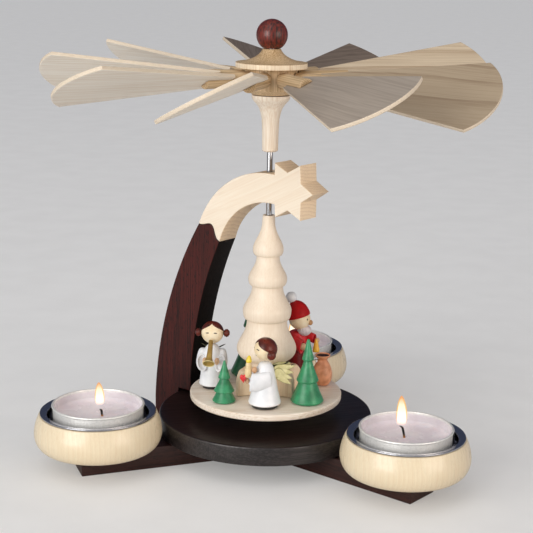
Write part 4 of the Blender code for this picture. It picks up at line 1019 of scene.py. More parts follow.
# the radius falls from the top as 1 / (1 + (t / 0.155)^2.1), and a fine groove runs round at t = 0.40
t = np.linspace(0, 1, 40)
flare = STEM_RADIUS + (STEM_WIDE - STEM_RADIUS) / (1 + (t / 0.155) ** 2.1)
groove = 0.25 * MM * np.exp(-((t - 0.40) / 0.012) ** 2)
stem_side = np.stack([flare - groove, high[2] - 0.9 * MM - (high[2] - low[2] - 1.4 * MM) * t], axis=1)
profile = np.concatenate([[(BORE, high[2]), (STEM_WIDE, high[2])], stem_side,
                          [(STEM_RADIUS - 0.6 * MM, low[2]), (BORE, low[2])]])
stem = turn("flared_stem", profile, stem_wood, "rotor", ["stem"], bored=True)
plank(stem, UPRIGHT, 31, 7)

CAP_COLLAR, CAP_RIM = 3.8 * MM, 2.3 * MM
low, high = extent("hub_cap")
cap_radius, bottom, top = high[0], low[2], high[2]
t = np.linspace(0, 1, 30)
slope = np.stack([CAP_COLLAR + (cap_radius - CAP_COLLAR) * (0.30 * t + 0.70 * t ** 2.1),
                  top - (top - bottom - CAP_RIM) * (1 - (1 - t) ** 1.5)], axis=1)
rim = [(cap_radius, bottom + CAP_RIM - 0.3 * MM), (cap_radius, bottom), (BORE, bottom)]
profile = soften(np.concatenate([[(BORE, top)], slope, rim]), 0.22 * MM, 3, loop=True)
cap = turn("flared_cap", profile, shaded_hub_wood, "rotor", ["hub_cap"], steps=128, bored=True)
plank(cap, UPRIGHT, 3, 2)
# the upright rim gets the paler wood as painted light
edge_material(cap, lit_hub_rim, (0, 0, 1), limit=0.2)

BALL_BORE_DEPTH = 4.0 * MM
low, high = extent("ball")
ball_radius = high[0]
ball_centre = high[2] - ball_radius
polar = np.linspace(0, np.arccos((low[2] - ball_centre) / ball_radius), 48)
ball_side = np.stack([ball_radius * np.sin(polar), ball_centre + ball_radius * np.cos(polar)], axis=1)
bored_out = low[2] + BALL_BORE_DEPTH
profile = np.concatenate([ball_side, [(BORE, low[2]), (BORE, bored_out), (0, bored_out)]])
ball = turn("top_ball", profile, ball_beech, "rotor", ["ball"], steps=72)
plank(ball, UPRIGHT, 12, 9)
print("cap radius %.1f mm, ball radius %.1f mm" % (cap_radius / MM, ball_radius / MM))

# %% Paddles, pegs and hub
PADDLES = 9
VANE_INNER, VANE_INNER_HALF = 21.0 * MM, 5.0 * MM
VANE_CORNER, VANE_CORNER_HALF, VANE_TIP = 88.8 * MM, 20.7 * MM, 98.3 * MM
VANE_THICKNESS = 1.6 * MM
PEG_RADIUS, PEG_END = 3.25 * MM, 33.0 * MM
PIN_RADIUS, PIN_START = 1.3 * MM, 6.4 * MM               # the pin that sits in the hub
HOLE_RADIUS, HOLE_START = 1.6 * MM, 6.1 * MM
HUB_RADIUS = 11.0 * MM
ALONG_X = Matrix.Rotation(math.radians(90), 4, "Y")
# paddle 2 has brown grain lines; paddles 1, 3, 4 and 9 get darker veneers as painted shade
VENEERS = {1: tan_veneer, 2: lined_veneer, 3: shaded_brown_veneer, 4: shaded_brown_veneer, 9: shaded_grey_veneer}
joints = {joint["name"]: joint for joint in frame["joints"]}


def paddle_frame(index):
    """The paddle's own frame: X is its joint's axis, Z is the thinnest direction of its solid."""
    joint = joints["paddle_%d_pitch" % index]
    points = corners(frame["nodes"]["vane_%d" % index].data)
    x = np.array(joint["axis"])
    z = np.linalg.svd(points - points.mean(axis=0), full_matrices=False)[2][2]
    z = z - x * (z @ x)
    z = z / np.linalg.norm(z) * (1 if z[2] > 0 else -1)
    matrix = np.eye(4)
    matrix[:3, :] = np.stack([x, np.cross(z, x), z, joint["pos_m"]], axis=1)
    return Matrix(matrix.tolist())


def box_mesh(name, low, high, matrix):
    """A plain block between two corners, for a saw cut."""
    places = np.array([[x, y, z] for x in (low[0], high[0]) for y in (low[1], high[1])
                       for z in (low[2], high[2])])
    mesh = bpy.data.meshes.new(name)
    faces = [(0, 1, 3, 2), (4, 6, 7, 5), (0, 4, 5, 1), (2, 3, 7, 6), (0, 2, 6, 4), (1, 5, 7, 3)]
    mesh.from_pydata(moved(places, matrix).tolist(), [], faces)
    return closed(mesh)


low, high = extent("hub")
hub_profile = [(BORE, high[2]), (HUB_RADIUS, high[2]), (HUB_RADIUS, low[2] + 2.2 * MM), (STEM_WIDE, low[2]),
               (BORE, low[2])]
hub = turn("drilled_hub", soften(hub_profile, 0.3 * MM, 4, loop=True), shaded_hub_wood, "rotor",
           ["hub"], bored=True)
tip = arc_points((VANE_CORNER, -VANE_CORNER_HALF), (VANE_TIP, 0), (VANE_CORNER, VANE_CORNER_HALF), 40)
vane_outline = np.concatenate([[(VANE_INNER, -VANE_INNER_HALF)], tip, [(VANE_INNER, VANE_INNER_HALF)]])
peg_shoulder = HUB_RADIUS + 0.4 * MM
peg_profile = soften([(0, PEG_END), (PEG_RADIUS, PEG_END), (PEG_RADIUS, peg_shoulder),
                      (PIN_RADIUS, peg_shoulder), (PIN_RADIUS, PIN_START), (0, PIN_START)],
                     np.array([0, 0.3, 0.3, 0.1, 0.1, 0]) * MM)
slit = np.array([0, PEG_RADIUS * 1.5, VANE_THICKNESS / 2 + 0.15 * MM])
hole = turned_grid(tube(0, HOLE_RADIUS, HOLE_START, HUB_RADIUS * 1.5), 24)
for index in range(1, PADDLES + 1):
    own, body = paddle_frame(index), "paddle_%d" % index
    mesh = board_mesh("paddle_board_%d" % index, vane_outline, VANE_THICKNESS, 0.3 * MM, own)
    board = keep("paddle_board_%d" % index, mesh, VENEERS.get(index, pale_veneer), body,
                 ["vane_%d" % index])
    plank(board, own, 9 + 1.5 * index, 14 + 2 * (index % 3), 110 * index)
    # the edges get the darker veneer as painted shade
    edge_material(board, shaded_veneer_edge, own.col[2][:3])
    peg = turn("dowel_%d" % index, peg_profile, shaded_hub_wood, body, ["peg_%d" % index],
               own @ ALONG_X, steps=40)
    cut(peg, box_mesh("slit", (VANE_INNER - CLEAR, 0, 0) - slit, (PEG_END * 1.2, 0, 0) + slit, own))
    plank(peg, own, 8 + index, 4, 50 * index)
    cut(hub, closed(skin_mesh("hole", [moved(hole, own @ ALONG_X)])))
plank(hub, UPRIGHT, 19, 5)
print("paddles:", PADDLES, "hub faces:", len(hub.data.polygons))

# %% [markdown]
# ## Green trees and the sack
# The little trees are turned with stepped skirts and dipped in green lacquer; the one at the back gets
# a darker green as painted shade. The sack is turned too, with a waisted neck and a flared mouth, and a
# dark disc inside the mouth is painted shade of its hollow.

# %% Small trees and sack
TREE_TIERS = {                           # as shares: height of a rim, its reach, reach of the neck below it
    "left": ((0.59, 0.53, 0.37), (0.27, 0.88, 0.64)),
    "right": ((0.69, 0.36, 0.25), (0.355, 0.67, 0.55)),
    "back": ((0.69, 0.38, 0.28), (0.355, 0.70, 0.57)),
}


def small_tree_profile(foot, height, tiers):
    """Stepped skirts: each grows as t^1.15 from its neck to its rim, and a small undercut follows."""
    parts, top, neck = [[(0.0, 1.0), (0.05, 0.995)]], 0.985, 0.09
    t, under = np.linspace(0, 1, 20), np.linspace(0, 1, 6)[1:]
    for rim, reach, next_neck in tiers + ((0.035, 1.0, 0.9),):
        parts.append(np.stack([neck + (reach - neck) * t ** 1.15, top + (rim - top) * t], axis=1))
        parts.append(np.stack([reach - (reach - next_neck) * under ** 2, rim - 0.03 * np.sqrt(under)],
                              axis=1))
        top, neck = rim - 0.032, next_neck
    return np.concatenate(parts + [[(0.9, 0.0), (0.0, 0.0)]]) * np.array([foot, height])


def on_plate(node):
    """Where a solid stands: the middle of its foot as a matrix, its radius and its height."""
    low, high = extent(node)
    x, y, _ = (low + high) / 2
    return Matrix.Translation((x, y, low[2])), (high[0] - low[0]) / 2, high[2] - low[2]


for side, tiers in TREE_TIERS.items():
    spot, radius, height = on_plate("tree_" + side)
    # the tree at the back, behind the tall tree, gets the darker green as painted shade
    colour = shaded_green_lacquer if side == "back" else green_lacquer
    turn("small_tree_" + side, small_tree_profile(radius, height, tiers), colour, "rotor",
         ["tree_" + side], spot, steps=72, sharp=50)

SACK_BELLY = 1.10                        # the belly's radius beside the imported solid's
sack_place, radius, height = on_plate("sack")
sack_size = np.array([radius * SACK_BELLY, height])
shares = [(0, 0.86), (0.44, 0.88), (0.62, 0.97), (0.73, 1.0), (0.78, 0.985), (0.68, 0.92), (0.46, 0.86),
          (0.45, 0.81), (0.62, 0.73), (0.85, 0.59), (1.0, 0.38), (0.94, 0.17), (0.72, 0.03), (0.56, 0.0),
          (0, 0)]
turn("tied_sack", soften(np.array(shares) * sack_size, 1.0 * MM, 6), sack_stain, "rotor",
     ["sack"], sack_place, steps=72, sharp=60)
# a dark disc inside the mouth is painted shade of the sack's hollow
mouth = np.array([(0, 0.965), (0.60, 0.965), (0.52, 0.91), (0, 0.91)]) * sack_size
turn("sack_mouth", mouth, sack_mouth_shade, "rotor", (), sack_place, steps=48)
print("small trees:", len(TREE_TIERS))

# %% [markdown]
# ## The figures
# Each figure is a turned robe on a small black foot, with bent sleeves, hands, and a ball for a head.
# Hair is a cap of lacquer whose lower edge is the hairline: high over the forehead at the parting and
# low at the nape. Faces are two short strokes and a dot. Every figure has its own frame: X is where it
# looks, and the plate is at zero.

# %% Tools for figures
BOTH = (-1, 1)                           # a figure's right and left side
HEAD_RADIUS = 4.85                       # mm, as are all sizes of figures
HAIR = 0.22
EAR, NAPE = 88, 138                      # degrees round from the parting where the ear and the nape are
SHOULDER = 0.14                          # share of a sleeve in which its shoulder closes


def facing(radius, degrees, look):
    """A figure's frame: its place on the plate, turned to where it looks."""
    return at(radius, degrees, STAND_ON_PLATE) @ turn_z(look)


def lathe(profile, ease, steps=32, rounding=5):
    """A turned grid from a profile in mm, its corners rounded over so many mm."""
    return turned_grid(soften(np.asarray(profile) * MM, ease * MM, rounding), steps)


def robe_grid(radii, powers, hem, rise, crown, foot, ease, steps=72):
    """A robe: radius = r0 - r1 t^p1 - r2 t^p2 from the hem up, then the corners of its crown and foot."""
    t = np.linspace(0, 1, 30)
    radius = radii[0] - radii[1] * t ** powers[0] - radii[2] * t ** powers[1]
    side = np.stack([radius, hem + rise * t], axis=1)
    return lathe(np.concatenate([crown, side[::-1], foot]), ease, steps, 3)


def sleeve_grid(points, sizes, lean=0.0):
    """A bell sleeve: ellipses carried along the quadratic Bezier curve of three points, with a hollow cuff.

    Sizes are the ellipse's half width and half height at the shoulder and at the cuff, mixed evenly. The
    shoulder closes as sqrt(1 - (1 - t / 0.14)^2); past the cuff's rim the skin turns back inside. Lean pushes
    the cuff's lower edge forward.
    """
    p, way_up = np.asarray(points, float), np.linspace(0, 1, 28)
    close = np.sqrt(1 - (1 - np.minimum(way_up / SHOULDER, 1)) ** 2)
    scale = np.concatenate([close, [0.97, 0.90, 0.80, 0.73, 0.68, 0.0]])[:, None]
    push = np.concatenate([0 * way_up, [0.12, 0.18, 0.10, -0.4, -0.9, -0.9]])[:, None]
    u = np.concatenate([way_up, np.ones(6)])[:, None]
    way = 2 * (1 - u) * (p[1] - p[0]) + 2 * u * (p[2] - p[1])
    way = way / np.linalg.norm(way, axis=1, keepdims=True)
    path = (1 - u) ** 2 * p[0] + 2 * u * (1 - u) * p[1] + u ** 2 * p[2] + way * push
    across = np.cross(way, [0, 0, 1.0])
    across = across / np.linalg.norm(across, axis=1, keepdims=True)
    size = (np.array(sizes[0]) * (1 - u) + np.array(sizes[1]) * u) * scale
    angle = all_round(36)
    steps = ((across, size[:, :1] * np.cos(angle)), (np.cross(across, way), size[:, 1:] * np.sin(angle)),
             (way, -lean * u * scale * np.sin(angle)))
    return (path[:, None] + sum(along[:, None] * far[..., None] for along, far in steps)) * MM


def on_ball(polar, angle):
    """Directions from the middle of a ball: x = sin p cos a, y = sin p sin a, z = cos p."""
    return np.stack([np.sin(polar) * np.cos(angle), np.sin(polar) * np.sin(angle), np.cos(polar) + 0 * angle],
                    axis=-1)


def ball_grid(centre, radii, rows=40, columns=56):
    """An egg round its centre: the directions of a ball, times one or three radii."""
    shape = on_ball(np.linspace(0, np.pi, rows)[:, None], all_round(columns))
    return (np.asarray(centre) + shape * np.asarray(radii)) * MM


def hair_grid(centre, brow, ear, nape):
    """A cap of hair: polar angle runs from the crown to the hairline and back inside the head.

    The hairline's height above the ears' level is brow at the parting, ear at the sides and nape at the
    back, all in degrees. It falls from one to the next as the share of the way round to the power 0.8.
    """
    angle = all_round(96)
    off = np.degrees(np.abs((angle + np.pi) % (2 * np.pi) - np.pi))
    front = brow + (ear - brow) * np.clip(off / EAR, 0, 1) ** 0.8
    line = np.where(off < EAR, front, ear + (nape - ear) * np.clip((off - EAR) / (NAPE - EAR), 0, 1) ** 0.8)
    edge = np.radians(90 - line)
    out = np.linspace(0, 1, 30)[:, None]
    fold = np.linspace(0, 1, 7)[1:, None]
    back = np.linspace(1, 0, 6)[1:, None]
    polar = np.concatenate([edge * out, edge + 0.06 * np.sin(fold * np.pi), edge * back])
    r = HEAD_RADIUS + np.concatenate([HAIR * (0.6 + 0.4 * np.sqrt(1 - out ** 4)),
                                      HAIR * 0.6 * (1 - fold) - 0.35 * fold, 0 * back - 0.35])
    return (np.asarray(centre) + r[..., None] * on_ball(polar, angle)) * MM


def bun_grid(centre, radius):
    """A coiled bun: a ball flattened sideways, with a spiral ridge, r (1 + 0.05 sin p cos(a - 11 p))."""
    polar, angle = np.linspace(0, np.pi, 40)[:, None], all_round(56)
    r = radius * (1 + 0.05 * np.cos(angle - 11 * polar) * np.sin(polar))
    return (np.asarray(centre) + r[..., None] * on_ball(polar, angle)[..., [0, 2, 1]] * (1, 0.82, 1)) * MM


def dab_grid(centre, side, up, width, height, tilt=0.0):
    """A stroke of paint on a head: a flat lens pressed on the surface at two angles, width x height mm."""
    s, u, a = (math.radians(v) for v in (side, up, tilt))
    out = np.array([math.cos(u) * math.cos(s), math.cos(u) * math.sin(s), math.sin(u)])
    left = np.array([-math.sin(s), math.cos(s), 0.0])
    top = np.cross(out, left)
    along, over = left * math.cos(a) + top * math.sin(a), top * math.cos(a) - left * math.sin(a)
    lens = on_ball(np.linspace(0, np.pi, 12)[:, None], all_round(24))
    x, y, deep = lens[..., :1] * width / 2, lens[..., 1:2] * height / 2, lens[..., 2:]
    flat = out * HEAD_RADIUS + along * x + over * y
    flat = flat / np.linalg.norm(flat, axis=-1, keepdims=True)
    return (np.asarray(centre) + flat * (HEAD_RADIUS + 0.05 * deep)) * MM


def figure_piece(name, grids, material, own, nodes=(), paint=None):
    """Files one or more grids, made in a figure's frame, as one piece of the rotor."""
    mesh = skin_mesh(name, [moved(grid, own) for grid in grids], paint=paint)
    return keep(name, mesh, material, "rotor", nodes, sharp=60.0)


def angel_head(name, own, height, hairline, bun, eye, mouth):
    """An angel's face, hair, two buns and painted strokes.

    Bun is how far out and up it sits and its radius; eye is its angle to the side, upwards and its tilt.
    """
    centre = (0, 0, height)
    face = ball_grid(centre, HEAD_RADIUS)
    figure_piece(name + "_face", [face], skin_lacquer, own, [name + "_head"])
    figure_piece(name + "_hair", [hair_grid(centre, *hairline)], hair_lacquer, own)
    buns = [bun_grid((-0.2, side * bun[0], bun[1]), bun[2]) for side in BOTH]
    figure_piece(name + "_buns", buns, hair_lacquer, own)
    strokes = [dab_grid(centre, side * eye[0], eye[1], 1.7, 0.5, side * eye[2]) for side in BOTH]
    figure_piece(name + "_eyes", strokes + [dab_grid(centre, *mouth)], eye_lacquer, own)


print("a sleeve has", sleeve_grid([(0, 0, 0), (1, 0, 0), (2, 0, 1)], [(1, 1), (1, 1)]).shape, "points")

# %% The trumpet angel
TRUMPETER = facing(24.0 * MM, 174.0, 266.0)
gown = [robe_grid((5.8, 1.9, 1.5), (0.75, 9), 2.0, 17.0, [(0, 19.7), (1.6, 19.65)],
                  [(5.6, 1.45), (4.3, 1.3), (0, 1.3)], 0.25, 64)]
for side in BOTH:
    gown.append(sleeve_grid([(-1.2, side * 3.0, 17.4), (0.2, side * 5.8, 10.6), (4.8, side * 3.9, 12.4)],
                            [(2.2, 2.5), (2.3, 3.9)], 0.5))
figure_piece("trumpeter_gown", gown, white_lacquer, TRUMPETER, ["trumpeter_robe"])
foot = lathe(tube(0, 4.2, 0, 1.35), 0.15, 48, 4)
figure_piece("trumpeter_foot", [foot], black_lacquer, TRUMPETER)
hands = [ball_grid((5.7, side * 2.7, 13.4), (1.7, 1.05, 1.6), 20, 24) for side in BOTH]
figure_piece("trumpeter_hands", hands, hand_lacquer, TRUMPETER)
angel_head("trumpeter", TRUMPETER, 24.9, (70, 12, -38), (6.2, 24.8, 1.75), (22, 11, -8), (-2, -32, 0.8, 0.7))
HORN = 11.6                              # its length
t = np.linspace(0, 1, 40)
horn = np.stack([0.95 + 0.35 * t + 1.25 * t ** 7, HORN * t], axis=1)
bell = [(2.5, HORN + 0.15), (2.2, HORN - 0.05), (1.7, HORN - 0.5), (0.9, HORN - 0.9), (0, HORN - 1.0)]
held = Matrix.Translation((5.4 * MM, 0, 22.6 * MM)) @ Matrix.Rotation(math.radians(130.8), 4, "Y")
mouth = TRUMPETER @ held
turn("golden_horn", np.concatenate([[(0, 0)], horn, bell]) * MM, gold_lacquer, "rotor",
     ["trumpet"], mouth, steps=48, sharp=50)
ring = all_round(16)
ring_profile = np.stack([2.42 + 0.2 * np.cos(ring), HORN + 0.05 + 0.2 * np.sin(ring)], axis=1) * MM
# the bell's rim is a paler gold ring: a painted highlight
turn("horn_rim", ring_profile, gold_rim_highlight, "rotor", (), mouth, steps=48, bored=True)
print("trumpet angel: pieces so far", len(pieces))

# %% The singing angel
SINGER = facing(22.2 * MM, 269.0, 204.0)
gown = [robe_grid((7.0, 3.5, 1.1), (0.8, 10), 2.2, 17.0, [(0, 19.8), (1.4, 19.75)],
                  [(6.8, 1.5), (5.7, 1.3), (0, 1.3)], 0.3),
        sleeve_grid([(-1.2, 3.4, 12.5), (2.6, 4.2, 12.2), (7.6, 2.6, 12.0)], [(1.9, 4.0), (1.9, 3.9)], 0.6),
        sleeve_grid([(-1.2, -3.4, 12.9), (2.6, -4.2, 12.7), (5.2, -2.6, 12.6)], [(1.9, 3.6), (1.9, 3.6)],
                    0.6)]
figure_piece("singer_gown", gown, white_lacquer, SINGER, ["singer_robe"])
foot = lathe(tube(0, 5.6, 0, 1.35), 0.15, 64, 4)
figure_piece("singer_foot", [foot], black_lacquer, SINGER)
hands = [ball_grid((5.6, 1.5, 17.1), (1.2, 0.9, 1.35), 20, 24),
         ball_grid((7.9, -0.6, 11.9), (1.0, 0.8, 1.3), 20, 24)]
figure_piece("singer_hands", hands, hand_lacquer, SINGER)
angel_head("singer", SINGER, 25.2, (52, -2, -38), (5.9, 23.9, 1.85), (24, 8, -10), (0, -28, 0.7, 0.6))
candle_place = SINGER @ Matrix.Translation((8.6 * MM, 0, 0)) @ Matrix.Rotation(math.radians(-2.8), 4, "Y")
taper = lathe([(0, 20.3), (1.15, 20.2), (1.65, 14.4), (1.6, 13.9), (0, 13.7)], 0.15, rounding=4)
figure_piece("singer_taper", [taper], cream_lacquer, candle_place, ["singer_candle"])
flame = lathe([(0, 23.3), (0.55, 23.0), (1.1, 21.6), (1.3, 20.5), (0.7, 20.1), (0, 20.1)], 0.3)
figure_piece("singer_flame", [flame], yellow_lacquer, candle_place)


def heart_grid(centre, size, thickness):
    """A heart: the curve x = 16 sin^3 a, z = 13 cos a - 5 cos 2a - 2 cos 3a - cos 4a, domed to both sides."""
    angle, dome = all_round(48), np.linspace(-np.pi / 2, np.pi / 2, 13)[:, None]
    x = 16 * np.sin(angle) ** 3
    z = 13 * np.cos(angle) - 5 * np.cos(2 * angle) - 2 * np.cos(3 * angle) - np.cos(4 * angle) + 2
    shape = [np.cos(dome) * x * size / 46, np.sin(dome) * thickness + 0 * x, np.cos(dome) * z * size / 34]
    return (np.asarray(centre) + np.stack(shape, axis=-1)) * MM


heart = heart_grid((10.0, 0.0, 13.3), 4.6, 0.8)
figure_piece("singer_heart", [heart], heart_red_lacquer, SINGER)
print("singing angel: pieces so far", len(pieces))

# %% Feathers


def feather_grid(root, tip, width, thickness, curve=0.0):
    """A carved feather: lens sections along a line, width sin(pi t^0.62)^0.75, bowed by curve sin(pi t)."""
    root, tip = np.asarray(root, float), np.asarray(tip, float)
    t, angle = np.linspace(0, 1, 26)[:, None], all_round(24)
    way = tip - root
    side = np.array([-way[2], 0, way[0]]) / np.linalg.norm(way)
    line = root + t * way + side * curve * np.sin(np.pi * t)
    half = width / 2 * np.sin(np.pi * t ** 0.62) ** 0.75 * np.cos(angle)
    deep = thickness / 2 * np.sin(np.pi * t) ** 0.4 * np.sin(angle)
    return (line[:, None] + side * half[..., None] + np.array([0, 1.0, 0]) * deep[..., None]) * MM


# root and tip of each feather as (back, out, up) in mm, then its width
FEATHERS = (
    ((-3.2, 1.2, 16.4), (-13.0, 2.4, 17.0), 3.4), ((-3.4, 1.45, 15.6), (-12.2, 2.5, 14.2), 3.4),
    ((-3.6, 1.7, 14.8), (-11.6, 2.6, 11.6), 3.2), ((-3.8, 1.9, 14.2), (-11.0, 2.7, 9.2), 3.0),
    ((-3.2, 2.1, 15.2), (-8.4, 2.4, 13.8), 4.6),
)
feathers, edges = [], []
for side in BOTH:
    flip = np.array([1, side, 1])
    feathers += [feather_grid(root * flip, tip * flip, width, 0.9) for root, tip, width in FEATHERS]
    edges.append(feather_grid((-3.0, 1.0, 17.2) * flip, (-12.6, 2.2, 18.0) * flip, 1.3, 1.2, 0.9))
stain = np.abs(np.cos(all_round(24))) ** 4
figure_piece("singer_feathers", feathers, feather_lacquer, SINGER, ["singer_wings"],
             paint=stain)
figure_piece("singer_feathers_edges", edges, olive_lacquer, SINGER)
small_wings = [feather_grid((-3.0, side * 1.6, 16.8), (-4.2, side * 5.4, 18.6), 3.0, 0.9) for side in BOTH]
figure_piece("trumpeter_feathers", small_wings, olive_lacquer, TRUMPETER)
print("feathers on one wing:", len(FEATHERS))

# %% The gift bringer
BRINGER = facing(20.6 * MM, 49.0, 345.0)
coat = robe_grid((5.2, 1.0, 1.4), (0.7, 9), 2.0, 20.2, [(0, 22.9), (1.7, 22.85)],
                 [(5.0, 1.4), (3.8, 1.2), (0, 1.2)], 0.25)
figure_piece("long_coat", [coat], maroon_lacquer, BRINGER, ["gift_bringer_coat"])
cape = [(0, 23.0), (1.9, 22.95), (3.2, 22.3), (4.55, 19.6), (4.75, 17.6), (4.5, 17.3), (0, 17.2)]
arms = [lathe(cape, 0.3, 72, 4),
        sleeve_grid([(-0.2, -2.7, 20.2), (1.2, -4.6, 17.8), (3.9, -5.3, 16.9)], [(1.9, 2.0), (2.2, 3.3)],
                    0.6),
        sleeve_grid([(-0.2, 2.7, 20.0), (3.0, 5.0, 19.8), (7.4, 3.2, 18.6)], [(1.9, 2.0), (1.6, 2.2)], 0.4)]
figure_piece("coat_cape_and_sleeves", arms, red_lacquer, BRINGER)
boots = lathe(tube(0, 3.6, 0, 1.25), 0.15, 48, 4)
figure_piece("gift_bringer_boots", [boots], black_lacquer, BRINGER)
hands = [ball_grid((4.5, -5.7, 17.1), (1.55, 1.55, 1.65), 20, 24),
         ball_grid((8.9, 2.8, 18.1), (1.1, 1.0, 1.2), 20, 24)]
figure_piece("gift_bringer_hands", hands, hand_lacquer, BRINGER)
HEAD = (1.2, 0, 28.2)
face = ball_grid(HEAD, HEAD_RADIUS)
figure_piece("gift_bringer_face", [face], skin_lacquer, BRINGER, ["gift_bringer_head"])
nose = ball_grid((6.1, 0, 26.9), (1.2, 1.2, 1.25), 20, 24)
figure_piece("gift_bringer_nose", [nose], nose_lacquer, BRINGER)
eyes = [dab_grid(HEAD, side * 30, 8, 0.75, 0.9) for side in BOTH]
figure_piece("gift_bringer_eyes", eyes, eye_lacquer, BRINGER)


def beard_grid(centre, radii):
    """A full beard: an egg, times 1 + 0.035 sin^2 p cos(14 a + 3 cos p) for its carved locks."""
    polar, angle = np.linspace(0, np.pi, 40)[:, None], all_round(64)
    lock = 1 + 0.035 * np.sin(polar) ** 2 * np.cos(14 * angle + 3 * np.cos(polar))
    return (np.asarray(centre) + on_ball(polar, angle) * lock[..., None] * np.asarray(radii)) * MM


def hat_grid(centre, radius, tilt):
    """A round cap: a dome, 1.4 times as high as its radius, over a flat hem that tilts back."""
    polar = np.radians(np.concatenate([np.linspace(0, 88, 30), [90, 90]]))[:, None]
    width = np.concatenate([np.ones(30), [0.985, 0.0]])
    size = np.stack([width, width, np.full(32, 1.40)], axis=1)[:, None] * radius
    own = Matrix.Translation(np.asarray(centre) * MM) @ Matrix.Rotation(math.radians(tilt), 4, "Y")
    return moved(on_ball(polar, all_round(72)) * size * MM, own)


figure_piece("white_beard", [beard_grid((3.4, 0, 23.1), (3.1, 3.5, 2.6))], beard_lacquer, BRINGER)
figure_piece("red_cap", [hat_grid((0.8, 0, 29.3), 5.35, -17)], deep_red_lacquer, BRINGER)
figure_piece("white_pompon", [ball_grid((-2.9, 0, 37.9), 2.5)], white_lacquer, BRINGER)
knot = sack_place @ Matrix.Translation((-sack_size[0] * 0.62, -sack_size[0] * 0.30, sack_size[1] * 0.80))
figure_piece("sack_bead", [ball_grid((0, 0, 0), 0.5, 16, 20)], white_lacquer, knot)
taper = lathe([(0, 18.9), (0.5, 18.6), (1.05, 16.6), (1.65, 13.4), (1.5, 12.8), (0, 12.8)], 0.25)
figure_piece("gift_bringer_taper", [taper], amber_lacquer,
             BRINGER @ Matrix.Translation((8.6 * MM, 2.2 * MM, 0)))
print("all pieces:", len(pieces))

# %% [markdown]
# ## What stays as it was packed
# The brass pivot cup and the dowel in the bow's foot are hidden inside the joints. Their solids stay
# and only get a proper material.

# %% Hidden solids
for name, material in (("pivot_cup", turned_brass), ("arch_dowel", lime_wood)):
    solid = frame["nodes"][name]
    solid.data.materials.clear()
    solid.data.materials.append(material)
    print(name, "keeps its shape, as", material.name)

# %% [markdown]
# ## Floor, light and camera
# A pale floor reaches far enough back to fill the picture. One large soft lamp stands in front on the
# left, like a window. A weaker one on the right, a faint wide sun from above and the pale world fill the
# shadows. The camera looks from where the photo was taken:
# about 56 cm in front, a little above the paddles, with a narrow lens.

# %% Stage
FLOOR_HALF = 9.0
floor_mesh = bpy.data.meshes.new("floor")
places = [(x * FLOOR_HALF, y * FLOOR_HALF, 0) for x, y in ((-1, -1), (1, -1), (1, 1), (-1, 1))]
floor_mesh.from_pydata(places, [], [(0, 1, 2, 3)])
floor = add_object("floor", floor_mesh)
floor.location.z = -0.05 * MM
paper, tree, shader = new_material("pale paper floor")
mottle = spread(tree, noise(tree, place_of(tree), 35.0, 3.0), 0.35, 0.65)
straight = node(tree, "ShaderNodeLightPath").outputs["Is Camera Ray"]
feed(tree, shader, {
    "Base Color": mix(tree, mottle, linear("#DEDDDC"), linear("#DAD9D8")), "Roughness": 0.9,
    "Emission Color": linear("#FFFFFF"), "Emission Strength": maths(tree, "MULTIPLY", straight, 0.20)})
floor_mesh.materials.append(paper)

world = bpy.data.worlds.new("soft room")
bpy.context.scene.world = world
world.use_nodes = True
tree = world.node_tree
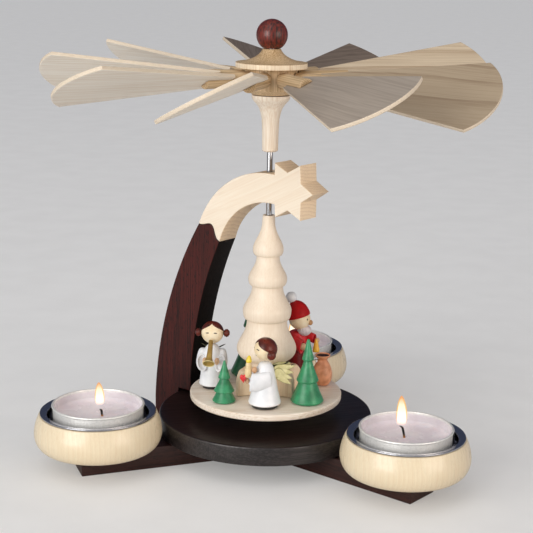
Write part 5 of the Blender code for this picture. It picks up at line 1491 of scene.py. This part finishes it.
# the room is pale in front and overhead, and a dark blue-grey behind, which the bright metal mirrors
direction = node(tree, "ShaderNodeTexCoord").outputs["Generated"]
behind = node(tree, "ShaderNodeSeparateXYZ", {"Vector": direction}).outputs["Y"]
room = mix(tree, spread(tree, behind, 0.1, 0.7), linear("#F0F0F2"), linear("#5D657C"))
backdrop = feed(tree, tree.nodes["Background"], {"Color": room, "Strength": 0.54})
seen = node(tree, "ShaderNodeBackground", {"Color": linear("#E2E2E2"), "Strength": 0.85})
straight = node(tree, "ShaderNodeLightPath").outputs["Is Camera Ray"]
either = node(tree, "ShaderNodeMixShader", {0: straight, 1: backdrop.outputs[0], 2: seen.outputs[0]})
feed(tree, tree.nodes["World Output"], {"Surface": either.outputs[0]})


def lamp(name, kind, energy, place, target, size, colour="#FFFFFF"):
    """A lamp at a place, turned to its target; size is its width in metres, or its angle for a sun."""
    data = bpy.data.lights.new(name, kind)
    data.energy = energy
    data.color = linear(colour)[:3]
    if kind == "SUN":
        data.angle = math.radians(size)
    else:
        data.size = size
    made = add_object(name, data)
    made.location = place
    made.rotation_euler = (Vector(target) - Vector(place)).to_track_quat("-Z", "Y").to_euler()
    return made


LAMPS = [
    lamp("window", "AREA", 11.3, (-0.85, -1.05, 0.40), (0, 0, 0.08), 0.9, "#FFFDF8"),
    lamp("top light", "SUN", 0.3, (-0.4, -0.6, 1.2), (0, 0, 0), 40.0),
    lamp("fill", "AREA", 6.0, (1.0, -0.9, 0.30), (0, 0, 0.08), 0.8, "#FFF0E0"),
]
print("lamps:", len(LAMPS))

# %% Camera
CAMERA_PLACE = (0.0, -0.5633, 0.21861)
FRAME_WIDTH = 533                        # pixels
FOCAL = 1337.5                           # pixels, from the photo's ellipses and upright lines
YAW, PITCH, ROLL = math.radians(1.081), math.radians(13.481), math.radians(1.278)
SIDEWAYS = -26.0                         # pixels: the photo is cut out of a wider one
forward = Vector((math.sin(YAW) * math.cos(PITCH), math.cos(YAW) * math.cos(PITCH), -math.sin(PITCH)))
level = Vector((math.cos(YAW), -math.sin(YAW), 0))
upright = level.cross(forward)
right = math.cos(ROLL) * level + math.sin(ROLL) * upright
upward = -math.sin(ROLL) * level + math.cos(ROLL) * upright
camera_data = bpy.data.cameras.new("camera")
camera_data.sensor_width = 36.0
camera_data.lens = FOCAL / FRAME_WIDTH * camera_data.sensor_width
camera_data.shift_x = SIDEWAYS / FRAME_WIDTH
camera = add_object("camera", camera_data)
camera.matrix_world = Matrix((right, upward, -forward)).transposed().to_4x4()
camera.location = CAMERA_PLACE

bpy.context.scene.camera = camera
bpy.context.scene.view_settings.view_transform = "Standard"
print("lens %.1f mm" % camera_data.lens)
